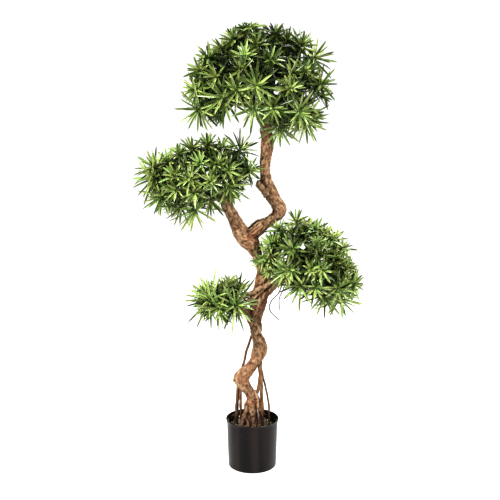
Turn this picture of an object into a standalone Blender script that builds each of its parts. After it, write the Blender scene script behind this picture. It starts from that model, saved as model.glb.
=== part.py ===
"""A potted artificial podocarpus, trained as a cloud tree with a crown and three pads.

Metres, +Z up. The origin is the centre of the pot's underside, and the tree's best side
faces -Y. A limb's route lists its stations as (x, y, z, radius).
"""

import math
import random

import bmesh
import bpy
from mathutils import Matrix, Vector
from mathutils.geometry import intersect_point_line

# Pot and filling
POT_HEIGHT = 0.170
POT_RIM_RADIUS = 0.090
POT_FOOT_RADIUS = 0.083
POT_WALL = 0.0018
POT_FLOOR = 0.003
COLLAR_HEIGHT = 0.014
COLLAR_STEP = 0.0014
LIP_HEIGHT = 0.003
FOOT_CHAMFER = 0.004
FILLING_LEVEL = 0.145
TURNED_SEGMENTS = 32

# Clearances. SWELL is how much larger than its limb a cutter is, which leaves the gap between two limbs.
SEAT_GAP = 0.0003
SWELL = 0.0004
SPACE_MARGIN = 0.0005
LIMB_MARGIN = 0.0015
TWIG_REACH = 0.25

# Limbs. Their routes follow the wood that shows, from the filling up.
TRUNK_SIDES = 10
BOUGH_SIDES = 10
ROOT_SIDES = 6
STATION_STEP = 0.027
RIDGES = 3
RIDGE_DEPTH = 0.07
RIDGE_TWIST = 16.0

TRUNK_ROUTE = [
    (-0.006, 0.000, 0.135, 0.0270),
    (0.000, 0.000, 0.205, 0.0213),
    (-0.005, -0.003, 0.255, 0.0174),
    (-0.026, -0.010, 0.288, 0.0211),
    (-0.036, -0.010, 0.319, 0.0268),
    (-0.002, -0.002, 0.358, 0.0193),
    (0.012, 0.002, 0.379, 0.0211),
    (0.025, 0.006, 0.410, 0.0255),
    (0.026, 0.008, 0.436, 0.0235),
    (0.014, 0.004, 0.467, 0.0182),
    (0.013, 0.001, 0.489, 0.0213),
    (0.008, 0.000, 0.519, 0.0229),
    (0.015, -0.001, 0.556, 0.0249),
    (0.022, -0.002, 0.590, 0.0286),
    (0.034, 0.000, 0.638, 0.0282),
    (0.034, 0.002, 0.690, 0.0210),
    (0.018, 0.002, 0.739, 0.0179),
    (0.001, 0.000, 0.776, 0.0266),
    (-0.028, 0.000, 0.809, 0.0303),
    (-0.047, -0.002, 0.838, 0.0265),
]
BUTTRESS_ROUTES = [
    [(-0.014, -0.004, 0.215, 0.010), (-0.030, -0.014, 0.168, 0.011), (-0.048, -0.024, 0.135, 0.010)],
    [(0.000, -0.006, 0.210, 0.010), (0.004, -0.020, 0.170, 0.011), (0.010, -0.034, 0.135, 0.010)],
    [(-0.002, 0.006, 0.205, 0.010), (-0.010, 0.022, 0.168, 0.011), (-0.020, 0.038, 0.135, 0.009)],
    [
        (0.004, -0.004, 0.268, 0.009),
        (0.018, -0.008, 0.235, 0.010),
        (0.026, -0.010, 0.188, 0.010),
        (0.028, -0.012, 0.135, 0.010),
    ],
]
BOUGH_ROUTES = {
    "upper_trunk": [
        (-0.009, 0.000, 0.813, 0.0215),
        (0.014, 0.003, 0.829, 0.0236),
        (0.034, 0.005, 0.846, 0.0219),
        (0.055, 0.008, 0.858, 0.0182),
        (0.076, 0.010, 0.873, 0.0188),
    ],
    "top_bough": [
        (0.069, 0.010, 0.868, 0.0175),
        (0.088, 0.010, 0.886, 0.0222),
        (0.091, 0.010, 0.902, 0.0235),
        (0.079, 0.009, 0.923, 0.0218),
        (0.063, 0.006, 0.953, 0.0237),
        (0.051, 0.001, 0.981, 0.0213),
        (0.043, 0.000, 1.014, 0.0176),
        (0.042, 0.000, 1.056, 0.0179),
        (0.048, 0.000, 1.100, 0.0212),
        (0.050, 0.000, 1.129, 0.0208),
        (0.045, 0.000, 1.170, 0.0198),
        (0.037, 0.000, 1.235, 0.0155),
    ],
    "left_bough": [
        (-0.038, -0.001, 0.825, 0.0250),
        (-0.054, -0.004, 0.856, 0.0211),
        (-0.073, -0.008, 0.893, 0.0197),
        (-0.094, -0.012, 0.930, 0.0180),
        (-0.118, -0.016, 0.962, 0.0145),
    ],
    "right_bough": [
        (0.046, 0.000, 0.626, 0.0231),
        (0.075, -0.006, 0.652, 0.0203),
        (0.103, -0.016, 0.672, 0.0162),
        (0.130, -0.022, 0.690, 0.0130),
    ],
    "low_bough": [
        (0.008, 0.000, 0.502, 0.0144),
        (-0.009, -0.006, 0.533, 0.0157),
        (-0.026, -0.011, 0.558, 0.0146),
        (-0.046, -0.017, 0.577, 0.0125),
        (-0.066, -0.022, 0.590, 0.0105),
    ],
    "broken_stub": [
        (0.026, 0.000, 0.612, 0.0119),
        (-0.004, -0.002, 0.608, 0.0112),
        (-0.028, -0.004, 0.602, 0.0095),
    ],
    "knot_stub": [
        (0.051, 0.000, 0.979, 0.0113),
        (0.027, -0.004, 0.987, 0.0100),
        (0.015, -0.006, 0.991, 0.0080),
    ],
}
# What each bough or aerial root springs from
CARRIERS = {
    "upper_trunk": ["trunk"],
    "top_bough": ["upper_trunk"],
    "left_bough": ["trunk", "upper_trunk"],
    "right_bough": ["trunk"],
    "low_bough": ["trunk"],
    "broken_stub": ["trunk"],
    "knot_stub": ["top_bough"],
    "long_root": ["trunk"],
    "knee_root": ["trunk", "long_root"],
    "right_root": ["trunk"],
    "short_root": ["trunk", "right_root"],
    "outer_root": ["trunk", "right_root"],
    "pale_root": ["trunk", "right_root"],
}
AERIAL_ROOT_ROUTES = {
    "long_root": [
        (0.004, 0.004, 0.476, 0.0044),
        (-0.016, 0.022, 0.420, 0.0044),
        (-0.033, 0.028, 0.346, 0.0046),
        (-0.048, 0.022, 0.284, 0.0055),
        (-0.057, 0.002, 0.135, 0.0072),
    ],
    "knee_root": [
        (-0.036, -0.012, 0.300, 0.0050),
        (-0.041, -0.006, 0.250, 0.0045),
        (-0.036, 0.006, 0.135, 0.0048),
    ],
    "right_root": [
        (0.025, 0.004, 0.384, 0.0076),
        (0.027, -0.004, 0.343, 0.0069),
        (0.030, -0.012, 0.281, 0.0066),
        (0.034, -0.016, 0.221, 0.0062),
        (0.034, -0.018, 0.135, 0.0076),
    ],
    "short_root": [
        (0.027, 0.000, 0.356, 0.0048),
        (0.024, -0.010, 0.309, 0.0045),
        (0.017, -0.010, 0.263, 0.0048),
    ],
    "outer_root": [
        (0.022, 0.006, 0.384, 0.0040),
        (0.037, 0.004, 0.314, 0.0036),
        (0.056, -0.004, 0.230, 0.0034),
        (0.060, -0.010, 0.135, 0.0038),
    ],
    "pale_root": [
        (0.008, -0.008, 0.216, 0.0042),
        (0.024, -0.034, 0.182, 0.0042),
        (0.024, -0.040, 0.135, 0.0045),
    ],
}
HANGING_FIBRES = {
    "hanging_fibre_front": [
        (0.108, -0.018, 0.668, 0.0011),
        (0.088, -0.022, 0.618, 0.0010),
        (0.064, -0.026, 0.592, 0.0009),
        (0.059, -0.026, 0.560, 0.0009),
        (0.090, -0.024, 0.525, 0.0008),
    ],
    "hanging_fibre_back": [
        (0.118, -0.016, 0.676, 0.0010),
        (0.104, 0.004, 0.622, 0.0009),
        (0.092, 0.006, 0.592, 0.0008),
        (0.094, 0.004, 0.552, 0.0008),
    ],
}

# Foliage. A pad is an ellipsoid of rosettes, cut off below its floor, and its lobes share it out.
# Rise and drop are its half heights above and below its centre, and slope tips it about Y.
PADS = {
    "crown": {
        "bough": "top_bough",
        "centre": (0.024, 0.0, 1.262),
        "radii": (0.208, 0.190),
        "rise": 0.176,
        "drop": 0.105,
        "floor": -0.72,
        "slope": -0.10,
        "rosettes": 39,
        "seed": 41,
        "lobes": {
            "crown_left": (-1.0, -0.25, 0.10),
            "crown_right": (1.0, -0.10, 0.05),
            "crown_front": (0.05, -1.0, 0.15),
            "crown_back": (-0.05, 1.0, 0.15),
            "crown_top": (0.0, 0.0, 1.0),
        },
    },
    "left_pad": {
        "bough": "left_bough",
        "centre": (-0.190, -0.016, 1.006),
        "radii": (0.160, 0.135),
        "rise": 0.080,
        "drop": 0.090,
        "floor": -0.80,
        "slope": 0.10,
        "rosettes": 21,
        "seed": 225,
        "lobes": {
            "left_pad_outer": (-1.0, 0.0, 0.20),
            "left_pad_front": (0.0, -1.0, 0.60),
            "left_pad_back": (0.0, 1.0, 0.60),
        },
    },
    "right_pad": {
        "bough": "right_bough",
        "centre": (0.180, -0.024, 0.716),
        "radii": (0.134, 0.125),
        "rise": 0.094,
        "drop": 0.106,
        "floor": -0.78,
        "slope": -0.30,
        "rosettes": 20,
        "seed": 324,
        "lobes": {
            "right_pad_outer": (1.0, 0.0, -0.10),
            "right_pad_front": (0.0, -1.0, 0.60),
            "right_pad_back": (0.0, 1.0, 0.60),
        },
    },
    "low_pad": {
        "bough": "low_bough",
        "centre": (-0.110, -0.028, 0.590),
        "radii": (0.070, 0.066),
        "rise": 0.046,
        "drop": 0.038,
        "floor": -0.85,
        "slope": -0.05,
        "rosettes": 8,
        "seed": 370,
        "lobes": {
            "low_pad_front": (-0.3, -1.0, 0.10),
            "low_pad_back": (-0.3, 1.0, 0.10),
        },
    },
}
GOLDEN_ANGLE = math.pi * (3 - math.sqrt(5))
TURN_JITTER = 0.2
OUTER_SHELL = (0.90, 1.0)
INNER_SHELL = 0.66
INNER_EVERY = 4

# Stems and twigs. A lobe's stem stands on its bough's flat end, part of the way out to the rim.
APEX_DEPTH = 0.007
BORDER_INSET = 0.011
STEM_RING = 0.58
STEM_REACH = 0.55
STEM_RADIUS = 0.0022
STEM_NECK = 0.004
STEM_SIDES = 5
STEM_PARTS = 4
LEAST_ASIDE = 0.3
TWIG_RADIUS = 0.0019
TWIG_TIP_RADIUS = 0.0022
TWIG_SIDES = 3
TWIG_PARTS = 2
LEAVING_PULL = 0.35
ARRIVING_PULL = 0.30

# Leaves. Each stands for two or three of the tree's own, so it is wider than they are.
HEART_RADIUS = 0.0032
LEAF_SHARE = 0.58
LEAF_JITTER = 0.16
LOWEST_LEAF = -0.3
LEAF_LENGTH = (0.064, 0.086)
LEAF_WIDTH = 0.0160
LEAF_THICKNESS = 0.0028
LEAF_LIFT = 0.006
LEAF_WIDEST = 0.42

SHARP_ANGLE = math.radians(40)
FINISHES = {
    "black_plastic": ((0.020, 0.018, 0.018), 0.42),
    "soil": ((0.030, 0.028, 0.022), 0.90),
    "bark": ((0.270, 0.150, 0.085), 0.85),
    "pale_bark": ((0.520, 0.480, 0.420), 0.80),
    "foliage": ((0.080, 0.210, 0.035), 0.45),
}


def clear_scene():
    for obj in list(bpy.data.objects):
        bpy.data.objects.remove(obj)


def finish(name):
    """The plain material of that name, made on first use."""
    found = bpy.data.materials.get(name)
    if found:
        return found
    colour, roughness = FINISHES[name]
    made = bpy.data.materials.new(name)
    made.use_nodes = True
    shader = made.node_tree.nodes["Principled BSDF"]
    shader.inputs["Base Color"].default_value = (*colour, 1.0)
    shader.inputs["Roughness"].default_value = roughness
    shader.inputs["Metallic"].default_value = 0.0
    made.diffuse_color = (*colour, 1.0)
    return made


def add_object(name, points, faces, finish_name):
    """A mesh object whose faces point out."""
    mesh = bpy.data.meshes.new(name)
    mesh.from_pydata(points, [], faces)
    shape = bmesh.new()
    shape.from_mesh(mesh)
    bmesh.ops.recalc_face_normals(shape, faces=shape.faces)
    shape.to_mesh(mesh)
    shape.free()
    mesh.materials.append(finish(finish_name))
    obj = bpy.data.objects.new(name, mesh)
    bpy.context.scene.collection.objects.link(obj)
    return obj


def turned(name, profile, finish_name):
    """A solid of revolution about Z. The profile's first and last points lie on the axis."""
    points = [(0.0, 0.0, profile[0][1])]
    for radius, height in profile[1:-1]:
        for i in range(TURNED_SEGMENTS):
            turn = math.tau * i / TURNED_SEGMENTS
            points.append((radius * math.cos(turn), radius * math.sin(turn), height))
    points.append((0.0, 0.0, profile[-1][1]))
    rings = len(profile) - 2
    last = len(points) - 1
    faces = []
    for i in range(TURNED_SEGMENTS):
        j = (i + 1) % TURNED_SEGMENTS
        faces.append((0, 1 + i, 1 + j))
        for ring in range(rings - 1):
            low = 1 + ring * TURNED_SEGMENTS
            high = low + TURNED_SEGMENTS
            faces.append((low + i, high + i, high + j, low + j))
        top = 1 + (rings - 1) * TURNED_SEGMENTS
        faces.append((last, top + j, top + i))
    return add_object(name, points, faces, finish_name)


def pot_radius(height):
    """The outer wall's radius, below the collar."""
    return POT_FOOT_RADIUS + (POT_RIM_RADIUS - COLLAR_STEP - POT_FOOT_RADIUS) * height / POT_HEIGHT


def make_pot():
    collar_foot = POT_HEIGHT - COLLAR_HEIGHT
    lip_foot = POT_HEIGHT - LIP_HEIGHT
    outer = [
        (0.0, 0.0),
        (POT_FOOT_RADIUS - FOOT_CHAMFER, 0.0),
        (pot_radius(FOOT_CHAMFER), FOOT_CHAMFER),
        (pot_radius(collar_foot), collar_foot),
        (pot_radius(collar_foot) + COLLAR_STEP, collar_foot + COLLAR_STEP),
        (POT_RIM_RADIUS, lip_foot - COLLAR_STEP),
        (POT_RIM_RADIUS + COLLAR_STEP, lip_foot),
        (POT_RIM_RADIUS + COLLAR_STEP, POT_HEIGHT),
    ]
    inner = [
        (POT_RIM_RADIUS - POT_WALL, POT_HEIGHT),
        (POT_RIM_RADIUS - POT_WALL, lip_foot),
        (pot_radius(collar_foot) - POT_WALL, collar_foot),
        (pot_radius(POT_FLOOR) - POT_WALL, POT_FLOOR),
        (0.0, POT_FLOOR),
    ]
    return turned("pot", outer + inner, "black_plastic")


def make_filling():
    low = POT_FLOOR + SEAT_GAP
    inset = POT_WALL + 2 * SEAT_GAP
    profile = [
        (0.0, low),
        (pot_radius(low) - inset, low),
        (pot_radius(FILLING_LEVEL) - inset, FILLING_LEVEL),
        (0.0, FILLING_LEVEL),
    ]
    return turned("pot_filling", profile, "soil")


def curved(route, step):
    """Stations a step apart or so, on a smooth curve through the route's own."""
    ends = [2 * Vector(route[0]) - Vector(route[1]), *map(Vector, route)]
    ends.append(2 * ends[-1] - ends[-2])
    stations = []
    for a, b, c, d in zip(ends, ends[1:], ends[2:], ends[3:]):
        parts = max(1, round((c - b).length / step))
        for i in range(parts):
            t = i / parts
            square = (2 * a - 5 * b + 4 * c - d) * t**2
            cube = (3 * b - a - 3 * c + d) * t**3
            stations.append((2 * b + (c - a) * t + square + cube) / 2)
    return [*stations, ends[-2]]


def cross_frames(places):
    """A direction and two cross axes at each place, carried along with no sudden twist."""
    ways = []
    for i in range(len(places)):
        ahead = places[min(i + 1, len(places) - 1)] - places[max(i - 1, 0)]
        ways.append(ahead.normalized())
    across = ways[0].orthogonal().normalized()
    frames = []
    for way in ways:
        across = (across - way * across.dot(way)).normalized()
        frames.append((way, across, way.cross(across)))
    return frames


def tube(name, stations, sides, finish_name, ridge=0.0, swell=0.0):
    """A closed tube along the stations, with flat ends and, for wood, low ridges that wind round it."""
    places = [Vector(s[:3]) for s in stations]
    frames = cross_frames(places)
    places[0] -= frames[0][0] * swell
    places[-1] += frames[-1][0] * swell
    points = []
    for place, station, (_, u, v) in zip(places, stations, frames):
        for i in range(sides):
            turn = math.tau * i / sides
            wave = math.cos(RIDGES * turn + RIDGE_TWIST * station[2])
            radius = station[3] * (1 + ridge * wave) + swell
            points.append(place + radius * (u * math.cos(turn) + v * math.sin(turn)))
    faces = [tuple(range(sides)), tuple(range(len(points) - sides, len(points)))]
    for ring in range(len(stations) - 1):
        for i in range(sides):
            j = (i + 1) % sides
            low = ring * sides
            high = low + sides
            faces += [(low + i, low + j, high + j), (low + i, high + j, high + i)]
    return add_object(name, points, faces, finish_name)


def shells_of(shape):
    """The separate closed surfaces of a mesh, as lists of faces."""
    left = set(shape.faces)
    shells = []
    while left:
        shell = [left.pop()]
        for face in shell:
            for edge in face.edges:
                for other in edge.link_faces:
                    if other in left:
                        left.discard(other)
                        shell.append(other)
        shells.append(shell)
    return shells


def extent_of(shell):
    """The diagonal of a shell's box."""
    corners = [vert.co for face in shell for vert in face.verts]
    low = Vector(map(min, zip(*corners)))
    high = Vector(map(max, zip(*corners)))
    return (high - low).length


def keep_largest_shell(mesh):
    """Drops scraps, and fills each hollow that a join has sealed. Says whether what is left is closed."""
    shape = bmesh.new()
    shape.from_mesh(mesh)
    bmesh.ops.triangulate(shape, faces=shape.faces)
    shells = sorted(shells_of(shape), key=extent_of)
    for shell in shells[:-1]:
        bmesh.ops.delete(shape, geom=shell, context="FACES")
    whole = all(edge.is_manifold for edge in shape.edges)
    shape.to_mesh(mesh)
    shape.free()
    return whole


def combine(obj, others, operation):
    """Joins the other objects to this one, or cuts them from it, and removes them."""
    group = bpy.data.collections.new("combining")
    bpy.context.scene.collection.children.link(group)
    for other in others:
        bpy.context.scene.collection.objects.unlink(other)
        group.objects.link(other)
    boolean = obj.modifiers.new("combine", "BOOLEAN")
    boolean.operation = operation
    boolean.operand_type = "COLLECTION"
    boolean.collection = group
    first_mesh = obj.data
    for solver in ("EXACT", "MANIFOLD"):
        boolean.solver = solver
        graph = bpy.context.evaluated_depsgraph_get()
        made = bpy.data.meshes.new_from_object(obj.evaluated_get(graph))
        if keep_largest_shell(made):
            break
    obj.modifiers.clear()
    obj.data = made
    obj.data.name = obj.name
    bpy.data.meshes.remove(first_mesh)
    for other in others:
        bpy.data.objects.remove(other)
    bpy.data.collections.remove(group)
    return obj


def cut_level(obj, height):
    """Cuts a limb off flat at this height and keeps what is above."""
    shape = bmesh.new()
    shape.from_mesh(obj.data)
    geometry = [*shape.verts, *shape.edges, *shape.faces]
    cut = bmesh.ops.bisect_plane(
        shape, geom=geometry, plane_co=(0, 0, height), plane_no=(0, 0, 1), clear_inner=True
    )
    rim = [item for item in cut["geom_cut"] if isinstance(item, bmesh.types.BMEdge)]
    bmesh.ops.contextual_create(shape, geom=rim)
    bmesh.ops.recalc_face_normals(shape, faces=shape.faces)
    shape.to_mesh(obj.data)
    shape.free()


def limb_style(name):
    """Sides, ridge depth and finish of a limb."""
    if name == "trunk":
        return TRUNK_SIDES, RIDGE_DEPTH, "bark"
    if name in BOUGH_ROUTES:
        return BOUGH_SIDES, RIDGE_DEPTH, "bark"
    return ROOT_SIDES, 0.0, "pale_bark" if name == "pale_root" else "bark"


def limb(name, route, swell=0.0):
    sides, ridge, finish_name = limb_style(name)
    return tube(name, curved(route, STATION_STEP), sides, finish_name, ridge, swell)


def swollen(name):
    """Cutters in the shape of a limb, a little larger all round."""
    if name == "trunk":
        routes = [TRUNK_ROUTE, *BUTTRESS_ROUTES]
        return [limb("trunk", route, SWELL) for route in routes]
    route = BOUGH_ROUTES.get(name) or AERIAL_ROOT_ROUTES[name]
    return [limb(name, route, SWELL)]


def make_limbs():
    """The trunk, then every bough and aerial root, each cut clear of what it springs from."""
    trunk = limb("trunk", TRUNK_ROUTE)
    combine(trunk, [limb("trunk", route) for route in BUTTRESS_ROUTES], "UNION")
    cut_level(trunk, FILLING_LEVEL + SEAT_GAP)
    for name, route in (BOUGH_ROUTES | AERIAL_ROOT_ROUTES).items():
        made = limb(name, route)
        cutters = [cutter for carrier in CARRIERS[name] for cutter in swollen(carrier)]
        combine(made, cutters, "DIFFERENCE")
        if name in AERIAL_ROOT_ROUTES and route[-1][2] < FILLING_LEVEL:
            cut_level(made, FILLING_LEVEL + SEAT_GAP)
    for name, route in HANGING_FIBRES.items():
        made = tube(name, curved(route, STATION_STEP), TWIG_SIDES, "pale_bark")
        combine(made, swollen("right_bough"), "DIFFERENCE")


class Space:
    """The cone that one lobe of a pad keeps to. All the cones of a pad share an apex in its bough's tip."""

    def __init__(self, apex, way, other_ways):
        self.apex = apex
        self.borders = [(way - other).normalized() for other in other_ways]

    def room(self, place):
        """How far inside the cone a place is: below 0 outside it."""
        return min((place - self.apex).dot(border) for border in self.borders)

    def drawn_in(self, place, inset):
        """The place, moved in from the cone's sides."""
        for border in self.borders:
            short = inset - (place - self.apex).dot(border)
            if short > 0:
                place = place + border * short
        return place


def limb_stations():
    """Every limb's stations as (place, radius), close together, for keeping foliage off them."""
    dense = []
    for route in [TRUNK_ROUTE, *BUTTRESS_ROUTES, *BOUGH_ROUTES.values(), *HANGING_FIBRES.values()]:
        thinnest = min(station[3] for station in route)
        for station in curved(route, max(LIMB_MARGIN, thinnest / 2)):
            dense.append((Vector(station[:3]), station[3] * (1 + RIDGE_DEPTH)))
    return dense


def clear_of_limbs(points, stations):
    """Whether straight lines from point to point miss every limb."""
    near = [(place, radius) for place, radius in stations if (place - points[-1]).length < TWIG_REACH]
    for start, end in zip(points, points[1:]):
        for place, radius in near:
            share = intersect_point_line(place, start, end)[1]
            nearest = start.lerp(end, min(max(share, 0.0), 1.0))
            if (nearest - place).length < radius + LIMB_MARGIN:
                return False
    return True


def rosette_places(pad):
    """Places on the pad's dome, even on all sides, as (place, outward way)."""
    draw = random.Random(pad["seed"])
    centre = Vector(pad["centre"])
    count = pad["rosettes"]
    first_turn = draw.uniform(0, math.tau)
    made = []
    for i in range(count):
        level = 1 - (i + 0.5) / count * (1 - pad["floor"])
        turn = first_turn + i * GOLDEN_ANGLE + draw.uniform(-TURN_JITTER, TURN_JITTER)
        spread = math.sqrt(1 - level**2)
        inner = i % INNER_EVERY == INNER_EVERY - 1
        depth = INNER_SHELL if inner else draw.uniform(*OUTER_SHELL)
        height = pad["rise"] if level > 0 else pad["drop"]
        x = pad["radii"][0] * spread * math.cos(turn) * depth
        y = pad["radii"][1] * spread * math.sin(turn) * depth
        z = height * level * depth + pad["slope"] * x
        way = Vector((x / pad["radii"][0] ** 2, y / pad["radii"][1] ** 2, level * depth / height))
        made.append((centre + Vector((x, y, z)), way.normalized()))
    return made


def bough_tip(name):
    """The centre of a bough's flat end, the way that it points, and its radius."""
    stations = curved(BOUGH_ROUTES[name], STATION_STEP)
    tip, before = (Vector(s[:3]) for s in (stations[-1], stations[-2]))
    return tip, (tip - before).normalized(), stations[-1][3]


def belly_of(face, along, way, length):
    """Where a leaf that grows along from a face of its rosette's heart is widest: a place for each corner."""
    centre = face.calc_center_median()
    side = way.cross(along).normalized()
    rise = along.cross(side)
    middle = centre + along * length * LEAF_WIDEST
    left, keel, right = sorted(face.verts, key=lambda vert: (vert.co - centre).dot(side))
    keeled = math.copysign(LEAF_THICKNESS, (keel.co - centre).dot(rise))
    return {
        left: middle - side * LEAF_WIDTH / 2,
        keel: middle + rise * keeled,
        right: middle + side * LEAF_WIDTH / 2,
    }


def rosette(name, place, way, space, stations, draw):
    """A whorl of leaves, each drawn out of one face of a small heart. Leaves that don't fit are left out."""
    turned_out = way.to_track_quat("Z", "Y").to_matrix().to_4x4()
    turned_out = Matrix.Translation(place) @ turned_out @ Matrix.Rotation(draw.uniform(0, math.tau), 4, "Z")
    shape = bmesh.new()
    bmesh.ops.create_icosphere(shape, subdivisions=1, radius=HEART_RADIUS, matrix=turned_out)
    for face in list(shape.faces):
        leant = face.normal.dot(way)
        jitter = Vector(draw.uniform(-LEAF_JITTER, LEAF_JITTER) for _ in range(3))
        along = (face.normal + jitter).normalized()
        length = draw.uniform(*LEAF_LENGTH)
        if leant < LOWEST_LEAF or draw.random() > LEAF_SHARE:
            continue
        places = belly_of(face, along, way, length)
        tip = face.calc_center_median() + along * (length - LEAF_LIFT) + way * LEAF_LIFT
        bellies = list(places.values())
        fits_space = min(space.room(point) for point in [*bellies, tip]) > SPACE_MARGIN
        route = [place, bellies[0], tip, bellies[2], place]
        if not fits_space or not clear_of_limbs(route, stations):
            continue
        corners = [places[vert] for vert in face.verts]
        drawn = bmesh.ops.extrude_discrete_faces(shape, faces=[face])["faces"][0]
        for vert, corner in zip(drawn.verts, corners):
            vert.co = corner
        bmesh.ops.poke(shape, faces=[drawn])["verts"][0].co = tip
    bmesh.ops.triangulate(shape, faces=shape.faces)
    made = add_object(f"{name}_rosette", [], [], "foliage")
    shape.to_mesh(made.data)
    shape.free()
    return made


def bent(start, start_way, end, end_way, start_radius, end_radius, parts):
    """Stations of a twig that leaves along one way and arrives along another."""
    reach = (end - start).length
    first = start + start_way * reach * LEAVING_PULL
    second = end - end_way * reach * ARRIVING_PULL
    stations = []
    for i in range(parts + 1):
        t = i / parts
        s = 1 - t
        place = start * s**3 + first * 3 * s * s * t + second * 3 * s * t * t + end * t**3
        stations.append((*place, start_radius + (end_radius - start_radius) * t))
    return stations


def fits(stations, space, limbs):
    """Whether a twig keeps to its space and misses the limbs."""
    places = [Vector(s[:3]) for s in stations]
    if min(space.room(place) for place in places) < TWIG_RADIUS + SPACE_MARGIN:
        return False
    return clear_of_limbs(places, limbs)


def make_lobe(name, pad, way, other_ways, limbs):
    """One mass of foliage: a stem from the bough's tip, twigs from the stem, and a rosette on each twig."""
    draw = random.Random(f"{name} {pad['seed']}")
    tip, axis, radius = bough_tip(pad["bough"])
    apex = tip - axis * APEX_DEPTH
    space = Space(apex, way, other_ways)
    mine = []
    for place, outward in rosette_places(pad):
        if max([way, *other_ways], key=(place - apex).dot) == way:
            mine.append((space.drawn_in(place, BORDER_INSET), outward))
    aside = way - axis * way.dot(axis)
    ring = radius * STEM_RING if aside.length > LEAST_ASIDE else 0.0
    foot = tip + axis * SEAT_GAP + aside.normalized() * ring
    middle = sum((place for place, _ in mine), Vector()) / len(mine)
    hub = space.drawn_in(foot.lerp(middle, STEM_REACH), BORDER_INSET)
    neck = foot + axis * STEM_NECK
    stem = bent(neck, axis, hub, (hub - neck).normalized(), STEM_RADIUS, STEM_RADIUS, STEM_PARTS)
    mass = tube(name, [(*foot, STEM_RADIUS), *stem], STEM_SIDES, "foliage")
    pieces = []
    forks = [Vector(s[:3]) for s in stem[STEM_PARTS // 2 :]]
    for place, outward in mine:
        fork = min(forks, key=lambda f: (place - f).length)
        start_way = ((hub - foot).normalized() + (place - fork).normalized()).normalized()
        twig = bent(fork, start_way, place, outward, TWIG_RADIUS, TWIG_TIP_RADIUS, TWIG_PARTS)
        if fits(twig, space, limbs):
            pieces.append(tube(f"{name}_twig", twig, TWIG_SIDES, "foliage"))
            pieces.append(rosette(name, place, outward, space, limbs, draw))
    return combine(mass, pieces, "UNION")


def make_foliage():
    limbs = limb_stations()
    for pad in PADS.values():
        ways = {name: Vector(way).normalized() for name, way in pad["lobes"].items()}
        for name, way in ways.items():
            others = [other for other_name, other in ways.items() if other_name != name]
            make_lobe(name, pad, way, others, limbs)


def shade_round():
    """Round and turned pieces are shaded smooth, with their sharp edges kept."""
    for obj in bpy.data.objects:
        obj.data.shade_smooth()
        obj.data.set_sharp_from_angle(angle=SHARP_ANGLE)


clear_scene()
make_pot()
make_filling()
make_limbs()
make_foliage()
shade_round()
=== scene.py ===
# %% [markdown]
# Dressing a potted artificial podocarpus.
#
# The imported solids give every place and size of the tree. They are plain, because they are there to
# stand, collide and weigh. Here the same tree gets its looks: bark with relief, real leaves, a thin
# plastic pot and loose filling. Lengths are in metres, apart from the tables of routes, which are in
# millimetres. The best side of the tree faces -Y.

# %% Load the solids
import collections
import math
import random

import bmesh
import bpy
import numpy as np
from mathutils import Matrix, Vector, noise
from mathutils.geometry import intersect_point_line
from mathutils.kdtree import KDTree


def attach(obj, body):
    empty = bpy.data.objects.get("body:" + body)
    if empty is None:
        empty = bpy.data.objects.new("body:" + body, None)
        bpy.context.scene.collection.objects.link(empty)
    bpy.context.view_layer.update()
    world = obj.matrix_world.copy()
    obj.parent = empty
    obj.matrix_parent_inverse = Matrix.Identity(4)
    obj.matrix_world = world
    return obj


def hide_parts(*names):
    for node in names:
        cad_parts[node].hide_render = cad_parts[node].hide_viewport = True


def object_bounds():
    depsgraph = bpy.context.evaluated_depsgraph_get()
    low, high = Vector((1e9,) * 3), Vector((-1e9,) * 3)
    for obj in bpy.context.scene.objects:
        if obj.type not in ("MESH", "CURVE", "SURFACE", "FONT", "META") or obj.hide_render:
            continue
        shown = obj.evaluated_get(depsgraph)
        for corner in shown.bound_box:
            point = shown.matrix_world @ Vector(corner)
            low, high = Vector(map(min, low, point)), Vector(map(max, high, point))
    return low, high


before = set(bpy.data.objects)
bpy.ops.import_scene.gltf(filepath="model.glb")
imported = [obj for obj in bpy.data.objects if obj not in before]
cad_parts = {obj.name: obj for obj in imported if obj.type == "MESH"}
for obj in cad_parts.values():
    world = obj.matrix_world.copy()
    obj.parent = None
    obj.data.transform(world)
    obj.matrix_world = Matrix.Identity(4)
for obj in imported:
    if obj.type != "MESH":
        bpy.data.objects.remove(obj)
CAD_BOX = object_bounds()
# Vector noise would start from the clock otherwise, and no two runs would give the same bark
noise.seed_set(1)


def rounded(box):
    """A box's corners to the millimetre."""
    return [tuple(round(x, 3) for x in corner) for corner in box]


print("solids:", len(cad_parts), "box:", rounded(CAD_BOX))

# %% [markdown]
# The camera comes first, because the whorls of leaves that face it are set by where they show.
# A pinhole camera turns a pixel into a line of sight. Its height and tilt come from how far the pot's
# mouth opens, and its focal length from how large the 18 cm pot and the 1.5 m tree look together.

# %% Camera
PHOTO_SIDE = 500
CAMERA_PLACE = Vector((-0.008, -2.600, 1.170))
CAMERA_TILT = math.radians(-8.92)
TILT_COS, TILT_SIN = math.cos(CAMERA_TILT), math.sin(CAMERA_TILT)
FOCAL_PIXELS = 780.0
SENSOR_MM = 36.0

camera = bpy.data.objects.new("camera", bpy.data.cameras.new("camera"))
bpy.context.scene.collection.objects.link(camera)
camera.location = CAMERA_PLACE
camera.rotation_euler = (math.pi / 2 + CAMERA_TILT, 0.0, 0.0)
camera.data.sensor_width = SENSOR_MM
camera.data.lens = FOCAL_PIXELS / PHOTO_SIDE * SENSOR_MM
bpy.context.scene.camera = camera
print("lens:", round(camera.data.lens, 2), "mm")


def sight_line(u, v):
    """The direction in which the camera sees a pixel of the photograph."""
    right = (u - PHOTO_SIDE / 2) / FOCAL_PIXELS
    up = (PHOTO_SIDE / 2 - v) / FOCAL_PIXELS
    return Vector((right, TILT_COS - up * TILT_SIN, TILT_SIN + up * TILT_COS)).normalized()


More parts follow.
